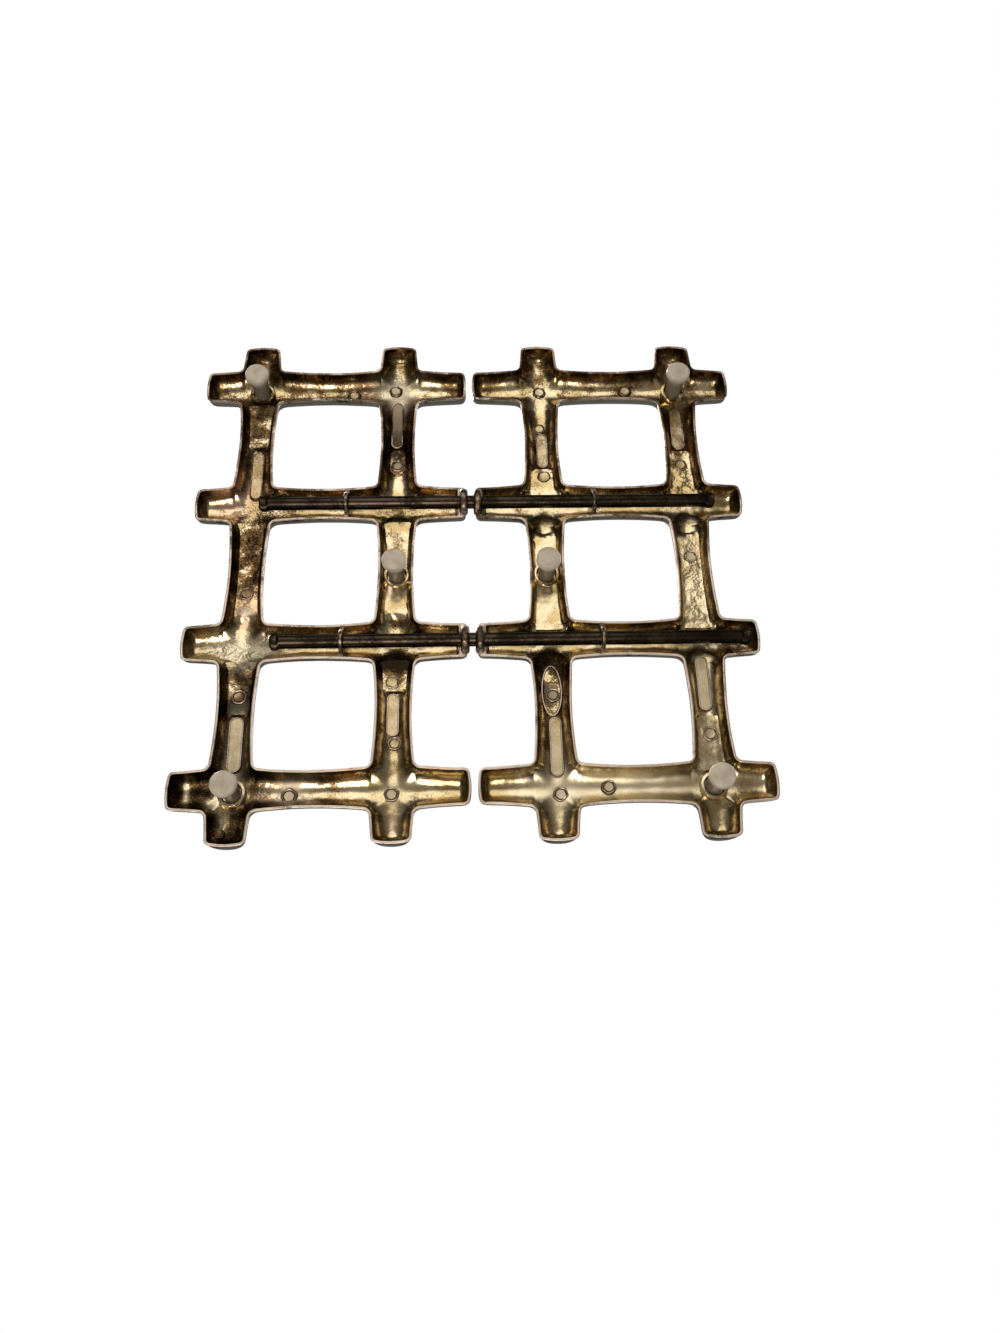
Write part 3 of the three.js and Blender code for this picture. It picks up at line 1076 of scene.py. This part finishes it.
# %% Rod guides
rod_radius = 2.38
bore_radius = rod_radius + 0.35
hump_radius = bore_radius + 1.3
web_place = 44.4
web_thickness = 1.5
web_edge = 0.5
collar_half = 5.0  # half a collar's width
collar_edge = 1.2
collar_lead = 0.05  # of its face before the rail's nominal end
bore_reach = 1.0  # of a drill past a collar
disc_steps = 8
plate_sides = 64
plate_foot = 0.02  # the least height of a web's plate above the rims
buried = bar_depth - crown_wall / 2  # where a piece ends inside the crown's wall


def disc_sections(start, stop, wide, high, nose):
    """Sections of a disc along X with both of its edges rounded."""
    angles = [math.pi / 2 * k / disc_steps for k in range(disc_steps + 1)]
    first = [(start + nose * (1 - math.cos(a)), nose * (1 - math.sin(a))) for a in angles]
    last = [(start + stop - x, inset) for x, inset in first[::-1]]
    sections = [*first, ((start + stop) / 2, 0.0), *last]
    return [(x, wide - inset, high - inset) for x, inset in sections]


web_span = (web_place - web_thickness / 2, web_place + web_thickness / 2)
collar_span = (inner_end - collar_lead, inner_end + collar_wall)


def web_plate(y):
    """The plate across the trough, a little into its walls."""
    half = waist - side_wall / 2
    arch = [
        (half * math.copysign(abs(c) ** (2 / fullness), c), buried * abs(s) ** (2 / fullness))
        for c, s in ellipse(1, 1, plate_sides)[: plate_sides // 2 + 1]
    ]
    loops = [
        [(x, y + across, max(up, plate_foot)) for across, up in arch]
        for x in web_span
    ]
    return shell("plate", loops, dark_guide)


web = disc_sections(*web_span, hump_radius, hump_radius, web_edge)
collar = disc_sections(*collar_span, collar_half, hump_radius, collar_edge)
drilled = (
    (inner_end - bore_reach, inner_end + collar_wall + bore_reach),
    (web_place - 2 * bore_reach, web_place + 2 * bore_reach),
)
plates = [web_plate(y) for y in slide_rails]
humps = [lengthwise("hump", part, y, dark_guide) for part in (web, collar) for y in slide_rails]
bores = [
    lengthwise("bore", [(x, bore_radius, bore_radius) for x in span], y, dark_guide)
    for y in slide_rails
    for span in drilled
]
print("guides:", len(plates), "plates,", len(humps), "humps,", len(bores), "bores")

# %% Foot sockets
foot_places = ((crossbars[1], rails[0]), (crossbars[0], 0.0), (crossbars[1], rails[3]))
socket_radius = 3.15
socket_wall = 1.45
mouth_radius = 3.65
socket_drop = 3.8
socket_half = (socket_radius + socket_wall,) * 2
mouth_half = (mouth_radius,) * 2
# height above the rims, how far in
socket_levels = [
    (buried - 0.5, 1.3),
    (5.2, 0),
    (socket_drop + 0.35, 0),
    (socket_drop + 0.1, 0.1),
    (socket_drop, 0.35),
]
hole_levels = [
    (socket_drop - 1, 0),
    (socket_drop, 0),
    (socket_drop + 0.9, mouth_radius - socket_radius),
    (bar_depth - crown_wall, mouth_radius - socket_radius),
]
sockets = [
    upright("socket", ellipse, socket_half, place, socket_levels, tarnished_trough)
    for place in foot_places
]
holes = [
    upright("hole", ellipse, mouth_half, place, hole_levels, tarnished_trough)
    for place in foot_places
]
print("sockets:", len(sockets))

# %% [markdown]
# ## Raised pads and bosses
#
# Flat pads stand in the troughs of the crossbars. The right casting also has an oval boss, where the
# left one has only a low plateau. Their raised edges are rubbed bright, and beside them lies a dark band
# of dirt with painted crevice shade, so each band between two outlines has its own finish.

# %% Pads, the oval boss and the plateau
# the dark bands of a raised shell are dirt with painted crevice shade
OWN, DIRT_AND_SHADE, BRIGHT = range(3)
bands = (DIRT_AND_SHADE, DIRT_AND_SHADE, BRIGHT, DIRT_AND_SHADE)
# across, from, to, half a width
pads = (
    (78.4, 32.0, 52.0, 2.2),
    (27.2, 53.5, 74.0, 2.15),
    (78.6, -71.0, -52.0, 2.4),
    (27.0, -59.5, -44.4, 2.1),
)
pad_levels = [(buried - 0.4, -0.1), (5.0, 0), (4.88, 0.12), (4.88, 0.34), (5.04, 0.5)]
boss_levels = [(buried - 0.4, 0.3), (4.9, 0), (4.75, 0.12), (4.75, 0.4), (5.35, 0.7)]
plateau_levels = [(buried - 0.4, -0.1), (5.4, 0), (5.15, 0.25)]


def edged(outline, half_sizes, centre, levels, face):
    """A raised shell with a rubbed edge between bands of dirt and painted crevice shade."""
    finishes = (face, crevice_shade_and_dirt, worn_rim)
    return upright("pad", outline, half_sizes, centre, levels, *finishes, paint=bands)


raised_pads = [
    edged(slot, (half, (high - low) / 2), (x, (low + high) / 2), pad_levels, rubbed_pad)
    for x, low, high, half in pads
]
boss = edged(ellipse, (3.5, 9.2), (crossbars[0], 44.2), boss_levels, tarnished_trough)
plateau = upright("plateau", slot, (3.0, 5.6), (26.9, 47.6), plateau_levels, tarnished_trough)
print("raised pads:", len(raised_pads), "and a boss or a plateau")

# %% [markdown]
# ## Ejector marks
#
# The pins that pushed the hot casting out of its die left round marks: a flat disc in a low ring. They
# repeat, so one mark is drawn and Geometry Nodes set a copy on each point of a small mesh, which also
# says how wide each is.

# %% One ejector mark
# the groove round the disc and the foot of the ring get dirt with painted crevice shade
# height above the floor, how far in, what the band that follows is
mark_profile = (
    (0.7, -0.1, DIRT_AND_SHADE),
    (-0.04, 0, DIRT_AND_SHADE),
    (-0.26, 0.05, BRIGHT),
    (-0.38, 0.13, BRIGHT),
    (-0.26, 0.22, DIRT_AND_SHADE),
    (0.02, 0.28, DIRT_AND_SHADE),
    (0.02, 0.34, DIRT_AND_SHADE),
    (-0.2, 0.4, OWN),
    (-0.12, 0.7, OWN),
)


# how many bulges go round a worn circle, how far they reach, where they start
worn_bulges = ((5, 0.025, 0), (7, 0.02, 1))


def worn_circle(wide, high):
    """A circle that use has made a little uneven."""
    uneven = [
        1 + sum(reach * math.sin(bulges * angle + start) for bulges, reach, start in worn_bulges)
        for angle in angles_round()
    ]
    return [(x * more, y * more) for (x, y), more in zip(ellipse(wide, high), uneven)]


def mark_mesh():
    """One mark of radius 1, with its faces of dirt and painted shade, and its bright faces, in two
    attributes.
    """
    levels = [(height, inset) for height, inset, _ in mark_profile]
    paint = [kind for _, _, kind in mark_profile[:-1]]
    finishes = (rubbed_pad, crevice_shade_and_dirt, worn_rim)
    mesh = upright("mark", worn_circle, (1, 1), (0, 0), levels, *finishes, paint=paint)
    for kind, name in ((DIRT_AND_SHADE, "dirt_and_shade"), (BRIGHT, "bright")):
        chosen = [face.material_index == kind for face in mesh.polygons]
        store(mesh, name, chosen, "BOOLEAN", "FACE")
    return mesh


one_mark = thing_of("one_mark", mark_mesh())
print("one mark:", len(one_mark.data.polygons), "faces")

# %% Marks on points
# across, along, height above the rims, radius
marks = (
    (78.8, 60.4, 4.6, 2.6),
    (28.0, 79.9, 5.75, 2.5),
    (26.8, 45.7, 5.05, 2.5),
    (78.4, -45.0, 4.6, 2.6),
    (27.2, -40.4, 4.6, 2.5),
    (27.0, -79.0, 5.75, 2.5),
    (60.0, -79.2, 5.4, 2.6),
    (78.5, -6.5, 4.6, 2.5),
    (26.6, 6.6, 4.6, 1.9),
    (26.3, -61.9, 5.35, 2.3),
    (43.8, 77.8, 5.4, 2.4),
    (81.2, -91.2, 4.6, 1.5),
)


def marks_tree():
    inputs = {"Geometry": GEOMETRY, "Mark": "NodeSocketObject"}
    outputs = {"Geometry": GEOMETRY}
    tree, given, result = new_tree("ejector marks", "GeometryNodeTree", inputs, outputs)
    mark = add_node(tree, "GeometryNodeObjectInfo", Object=given["Mark"])
    radius = attribute(tree, "radius", "FLOAT")
    size = add_node(tree, "ShaderNodeCombineXYZ", X=radius, Y=radius, Z=1.0)
    placed = add_node(tree, "GeometryNodeInstanceOnPoints", Points=given["Geometry"])
    plug(tree, mark.outputs["Geometry"], placed.inputs["Instance"])
    plug(tree, size.outputs["Vector"], placed.inputs["Scale"])
    whole = add_node(tree, "GeometryNodeRealizeInstances", Geometry=placed.outputs["Instances"])
    made = painted(tree, whole.outputs["Geometry"], rubbed_pad)
    made = painted(tree, made, crevice_shade_and_dirt, attribute(tree, "dirt_and_shade", "BOOLEAN"))
    made = painted(tree, made, worn_rim, attribute(tree, "bright", "BOOLEAN"))
    plug(tree, made, result.inputs["Geometry"])
    return tree


mark_points = bpy.data.meshes.new("mark_points")
mark_points.from_pydata([mark[:3] for mark in marks], [], [])
store(mark_points, "radius", [mark[3] for mark in marks])
all_marks = grown_mesh("marks", mark_points, marks_tree(), {"Mark": one_mark})
bpy.data.objects.remove(one_mark)
print("ejector marks:", len(marks), "with", len(all_marks.polygons), "faces")


# %% Weld and drill
def welded(skin, steps):
    """The skin with each mesh added to it or cut from it."""
    body = thing_of("body", skin)
    tools = []
    for operation, mesh in steps:
        tools.append(thing_of("tool", mesh))
        modifier = body.modifiers.new(operation, "BOOLEAN")
        modifier.operation = operation
        modifier.solver = "MANIFOLD"
        modifier.object = tools[-1]
        modifier.material_mode = "TRANSFER"
    mesh = kept_mesh(body)
    for tool in tools:
        bpy.data.objects.remove(tool)
    return mesh


half_meshes = {}
for side, own_part in (("right", boss), ("left", plateau)):
    weld_steps = [
        ("UNION", joined("plates", plates)),
        ("UNION", joined("humps", humps)),
        ("UNION", joined("sockets", sockets)),
        ("UNION", joined("pads", [*raised_pads, own_part])),
        ("UNION", all_marks),
        ("DIFFERENCE", joined("bores", bores + holes)),
    ]
    half_meshes[side] = welded(skin_mesh, weld_steps)
    faces, odd = len(half_meshes[side].polygons), tidy_shell(half_meshes[side])
    print(side, "casting:", faces, "faces,", odd, "open edges")

# %% [markdown]
# ## Wear and painted light
#
# The two castings come from one die, but they wore and tarnished differently. Each mask is a sum of soft
# oval patches in the places where the metal is darker, frosted, hammered or bare of plate. Some patches
# of the first two masks are painted light instead: a lighter right half and bright painted highlights.
# Each mask is kept on the mesh's points, so it stays in place in every view and pose.

# %% Wear patches and painted light
# for each mask: x, y, half a width along X, half a width along Y, amount
mask_patches = {
    "tarnish_and_painted_light": (
        (-78, 36, 7, 4, 1.0),
        (-74, 43, 3, 6, 1.2),
        (-79, 49, 7, 3, 1.4),
        (-85, 60, 3, 14, 0.6),
        (-72, 62, 3, 12, 0.8),
        (-27, 33.5, 7, 4.5, 1.6),
        (26, 33, 6, 4, 0.9),
        (21, 45, 3, 12, 0.5),
        (-92, 78, 7, 8, 1.4),
        (-80, 91, 8, 7, 0.9),
        (-62, 73, 20, 4, 1.0),
        (-64, 83, 14, 3, 0.8),
        (-78, -6, 8, 18, 0.75),
        (-78, -58, 7, 16, 0.45),
        (-27, -54, 7, 18, 0.4),
        (-60, -78, 30, 12, 0.1),
        # darkens the whole front
        (0, -95, 160, 60, 0.35),
        (40, -72, 40, 20, -0.15),
        (27, -52, 4, 10, 0.6),
        (78.6, -62, 4, 12, 0.75),
        (27, 64, 4, 12, 0.25),
        (-27, -63, 4, 12, 0.65),
        (90, 27, 9, 6, 0.6),
        # painted light: lightens the whole right half
        (50, 0, 46, 76, -0.16),
        (52, 78, 36, 10, -0.3),
        (12, 78, 14, 10, -0.25),
        (-26, 13, 8, 8, -0.2),
        (-27, 80, 10, 10, -0.1),
        (26.5, 43, 4, 9, 0.8),
        (-26.5, -50, 5, 4, 0.7),
        # painted highlight beside a rail, in the left half
        (-26.5, -37, 4, 3.5, -0.4),
        (-26.5, 18, 6, 2, 1.0),
        (-71, 27, 4, 3, 1.2),
        (-78.4, 40, 6, 4, 0.2),
        # these four paint highlights: a crescent by the bottom-left socket, streaks on the stubs and a
        # strip at the end
        (-75.3, 77.5, 2, 4, -0.8),
        (-84.5, 82, 3, 2, -1.2),
        (-81, 87, 1.6, 3.5, -1.2),
        (-93, 78, 0.7, 4, -1.2),
    ),
    "frost_and_highlights": (
        (-80, 28, 13, 5, 1.0),
        (-27, -78, 7, 7, 1.0),
        (-59, 79, 6, 5, 0.7),
        (-27, 80, 6, 6, 0.4),
        (52, 78, 30, 8, 0.8),
        (26, 78, 9, 9, 0.4),
        (78, 42, 4, 12, 0.8),
        (-78, 63, 3, 10, 1.0),
        # these four paint the same highlights, with the matching tarnish patches
        (-75.3, 77.5, 1.2, 3.2, 1.0),
        (-84.5, 82, 2.2, 1.6, 0.9),
        (-81, 87, 1.2, 3, 0.6),
        (-93, 78, 0.5, 4, 0.8),
        (80, 4, 5, 14, 0.3),
        (-78, 14, 1.6, 1.6, 1.2),
        (-26.8, -45.7, 1.4, 1.4, 1.0),
        (26.8, 45.7, 2, 2, 0.8),
    ),
    "hammering": (
        (-80, 28, 13, 5, 0.9),
        (-78, -8, 6, 18, 0.8),
        (-78, 41, 5, 8, 0.6),
        (-79, 86, 5, 8, 0.6),
        (-71, -27, 8, 6, 0.7),
        (80, 4, 5, 16, 0.5),
        (79, -38, 5, 6, 0.5),
    ),
    "bare": (
        (-84, -36, 5, 5, 1.0),
        (-88, -30, 6, 4, 0.4),
        (-78, 14, 4, 6, 0.4),
        (-60, 80, 8, 4, 0.25),
    ),
}
print("wear patches:", {mask: len(patches) for mask, patches in mask_patches.items()})

# %% The two castings
sharp_angle = math.radians(36)


def settled(name, mesh, angle=0.0, place=(0, 0, 0)):
    """A piece at the origin with its place in its mesh: turned, moved and brought to metres."""
    mesh.transform(Matrix.Rotation(angle, 4, "Z"))
    mesh.transform(Matrix.Scale(MM, 4) @ Matrix.Translation(place))
    mesh.shade_smooth()
    mesh.set_sharp_from_angle(angle=sharp_angle)
    return thing_of(name, mesh)


def worn(mesh):
    """Stores the four masks, with their painted light, on a casting. Returns their greatest values."""
    flat = np.empty(len(mesh.vertices) * 3)
    mesh.vertices.foreach_get("co", flat)
    x, y, _ = flat.reshape(-1, 3).T / MM
    masks = np.zeros((len(mesh.vertices), len(mask_patches)))
    for mask, patches in enumerate(mask_patches.values()):
        for at_x, at_y, wide, long, amount in patches:
            masks[:, mask] += amount * np.exp(-(((x - at_x) / wide) ** 2) - ((y - at_y) / long) ** 2)
    store(mesh, "three_masks", masks[:, :-1].ravel(), "FLOAT_VECTOR")
    store(mesh, "bare", masks[:, -1])
    return masks.max(axis=0).round(2)


turns = {"right": 0.0, "left": math.pi}
for side, angle in turns.items():
    piece = settled(side + "_casting", half_meshes[side], angle, (0, 0, foot_height))
    print(side, "casting's strongest wear:", worn(piece.data))
    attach(piece, side)
    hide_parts(side + "_half")

# %% [markdown]
# ## The rods
#
# Two plain steel rods join the halves. Near each end a press has flattened the rod into two lugs, which
# can't pass the webs and so stop the slide. A rod is drawn through sections along X, which are close
# together where its shape changes.

# %% Rods
rod_half = 81.7
rod_chamfer = 0.5
stake_reach = 1.7  # half the length of a stake
stake_middle = rod_half - stake_reach
stake_half = (3.15, 1.9)  # half the width and half the height over the lugs
stake_steps = 16
stake_rise = 1.6  # how steeply the lugs rise
rod_places = {"front": (6.3, slide_rails[0]), "back": (13.2, slide_rails[1])}
rod_steel = metal(
    "rod_steel",
    ((0.07, 0.055, 0.042), (0.038, 0.029, 0.02), (0.018, 0.014, 0.01), (0.05, 0.032, 0.02)),
    0.3,
    grain={"Grain": 0.15, "Waves": 0.05},
    Cloud_size=9.0,
    Fleck_size=1.2,
)


def rod_sections():
    half = [(0.0, rod_radius, rod_radius)]
    for step in range(stake_steps + 1):
        x = stake_middle - stake_reach + 2 * stake_reach * step / stake_steps
        share = max(0.0, 1 - abs(x - stake_middle) / stake_reach)
        risen = min(1.0, share * stake_rise)
        smooth = risen**2 * (3 - 2 * risen)
        wide, high = (rod_radius + (size - rod_radius) * smooth for size in stake_half)
        nose = max(0.0, x - rod_half + rod_chamfer)
        half.append((x, wide - nose, high - nose))
    half[-1] = (rod_half, rod_radius - rod_chamfer, rod_radius - rod_chamfer)
    return [(-x, wide, high) for x, wide, high in half[:0:-1]] + half


for place, (x, y) in rod_places.items():
    mesh = lengthwise("rod", rod_sections(), 0, rod_steel)
    piece = settled(place + "_rod", mesh, 0.0, (x, y, foot_height))
    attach(piece, place + "_rod")
    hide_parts(place + "_slide_rod")
print("rods:", ", ".join(rod_places))

# %% [markdown]
# ## The feet
#
# Each foot is a moulded peg: a wide round head that stands on the table, and a shank that tapers to a
# plug in its socket. Its milky plastic lets some light in, which subsurface scattering gives. The shank
# is
# darker above the head: painted shade, with some grime where no cloth reaches.


# %% The plastic
def plastic_finish():
    material, tree, shader = plain_material(
        "milky_plastic", Roughness=0.38, Subsurface_Weight=0.6, Subsurface_Scale=0.004, IOR=1.5
    )
    shader.inputs["Subsurface Radius"].default_value = (1.0, 0.8, 0.55)
    place = object_place(tree)
    cloud = ranged(tree, noise_at(tree, place, 4.0, 3.0), 0.35, 0.7)
    # painted shade on the shank above the head, with some grime
    shank_shade_and_grime = ranged(tree, parts_of(tree, place)[2], 2.2 * MM, 6.5 * MM)
    colour = mixed(tree, cloud, (0.70, 0.65, 0.56, 1), (0.56, 0.50, 0.41, 1))
    colour = mixed(tree, shank_shade_and_grime * 0.8, colour, (0.20, 0.16, 0.115, 1))
    plug(tree, colour, shader.inputs["Base Color"])
    plug(tree, bump(tree, 0.2, noise_at(tree, place, 0.8, 2.0), 0.1), shader.inputs["Normal"])
    return material


milky_plastic = plastic_finish()
print("plastic:", len(milky_plastic.node_tree.nodes), "nodes")

# %% Feet
# height above the table, radius
foot_levels = [
    (0.12, 0.0),
    (0.12, 0.7),
    (0.0, 0.85),
    (0.0, 3.2),
    (0.05, 3.54),
    (0.19, 3.83),
    (0.42, 4.07),
    (0.71, 4.23),
    (1.1, 4.3),
    (2.2, 4.3),
    (2.32, 4.22),
    (2.9, 3.35),
    (3.05, 3.18),
    (3.3, 3.13),
    (12.1, 2.85),
    (14.0, 2.85),
]
least_radius = 0.01
half_turned = {"front": "back", "middle": "middle", "back": "front"}


def foot_mesh():
    loops = []
    for z, radius in foot_levels:
        kept = max(radius, least_radius)
        loops.append([(x, y, z) for x, y in ellipse(kept, kept)])
    return shell("foot", loops, milky_plastic)


for side, angle in turns.items():
    for place, (x, y) in zip(half_turned, foot_places):
        turned = place if side == "right" else half_turned[place]
        mesh = foot_mesh()
        mesh.transform(Matrix.Translation((x, y, 0)))
        piece = settled(f"{side}_{turned}_peg", mesh, angle)
        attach(piece, side)
        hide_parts(f"{side}_{turned}_foot")
print("feet:", len(turns) * len(foot_places))

# %% [markdown]
# ## The studio
#
# Polished and tarnished metal shows mostly what it reflects. The sky is white for the camera, and for
# everything else it is a soft grey that darkens towards the horizon, so that the steep walls of the
# troughs turn dark. Broad lights below serve the photograph's view, and others above serve the rest.

# %% World
dark_sky = (0.03, 0.027, 0.024, 1)
sky_below = (0.24, 0.215, 0.18, 1)
pale_band = (0.75, 0.76, 0.78, 1)
world = bpy.data.worlds.new("studio")
world.use_nodes = True
bpy.context.scene.world = world
bpy.context.scene.view_settings.view_transform = "Standard"


def dress_world(tree):
    """A white sky for the camera and a soft one, with a pale band above the horizon, for the rest."""
    tree.nodes.clear()
    direction = add_node(tree, "ShaderNodeTexCoord").outputs["Generated"]
    height = parts_of(tree, direction)[2]
    below = ranged(tree, 0 - height, 0.35, 1.0)
    band = ranged(tree, height, 0.12, 0.4) * (1 - ranged(tree, height, 0.55, 0.8) * 0.9)
    colour = mixed(tree, band, mixed(tree, below, dark_sky, sky_below), pale_band)
    soft = add_node(tree, "ShaderNodeBackground", Color=colour, Strength=1.0)
    white = add_node(tree, "ShaderNodeBackground", Color=(1, 1, 1, 1), Strength=1.0)
    rays = tree.nodes.new("ShaderNodeLightPath")
    mix = tree.nodes.new("ShaderNodeMixShader")
    for_camera = rays.outputs["Is Camera Ray"]
    plug_all(tree, (for_camera, soft.outputs[0], white.outputs[0]), mix.inputs)
    plug(tree, mix.outputs[0], tree.nodes.new("ShaderNodeOutputWorld").inputs["Surface"])


dress_world(world.node_tree)
print("world:", len(world.node_tree.nodes), "nodes")

# %% Lights
middle = Vector((0, 0, foot_height)) * MM
# name, tilt from straight below, turn about Z from +Y, distance and width in metres, power, colour
soft_lights = (
    ("key_below", 33, 170, 1.0, 0.85, 2.8, (1.0, 0.94, 0.85)),
    ("back_below", 42, 12, 1.0, 0.45, 3.9, (1.0, 0.93, 0.82)),
    ("key_above", 125, 150, 1.2, 0.8, 14, (1, 1, 1)),
    ("fill_above", 120, 240, 1.4, 1.0, 8, (1, 1, 1)),
)
for name, tilt, turn_by, distance, width, power, colour in soft_lights:
    light = bpy.data.lights.new(name, "AREA")
    light.shape = "DISK"
    light.size = width
    light.energy = power
    light.color = colour
    thing = thing_of(name, light)
    away = Vector((0, math.sin(math.radians(tilt)), -math.cos(math.radians(tilt))))
    away.rotate(Matrix.Rotation(math.radians(turn_by), 3, "Z"))
    thing.location = middle + away * distance
    thing.rotation_mode = "QUATERNION"
    thing.rotation_quaternion = away.to_track_quat("Z", "Y")
    thing.visible_camera = False
print("lights:", len(soft_lights))

# %% Floor
floor_half = 1.0
floor_fade = (0.14, 0.55)  # from the middle, where the floor begins and ends to fade into the sky
floor_mesh = bpy.data.meshes.new("floor")
corners = [(-1, -1), (1, -1), (1, 1), (-1, 1)]
floor_mesh.from_pydata([(x * floor_half, y * floor_half, 0) for x, y in corners], [], [(0, 1, 2, 3)])
floor = thing_of("floor", floor_mesh)


def floor_finish():
    """Pale from above, and clear from below and far out."""
    pale = {"Base Color": (0.86, 0.86, 0.86, 1), "Roughness": 0.9}
    material, tree, shader = plain_material("pale_floor", **pale)
    facing = Field(tree, add_node(tree, "ShaderNodeNewGeometry").outputs["Backfacing"])
    reach = vector_math(tree, "LENGTH", object_place(tree))
    far = ranged(tree, reach.outputs["Value"], *floor_fade)
    clear = tree.nodes.new("ShaderNodeBsdfTransparent")
    mix = tree.nodes.new("ShaderNodeMixShader")
    plug_all(tree, (facing.at_least(far), shader.outputs[0], clear.outputs[0]), mix.inputs)
    plug(tree, mix.outputs[0], tree.nodes["Material Output"].inputs["Surface"])
    return material


floor_mesh.materials.append(floor_finish())
for kind in ("shadow", "glossy", "diffuse", "transmission"):
    setattr(floor, "visible_" + kind, False)
print("floor:", 2 * floor_half, "m wide")
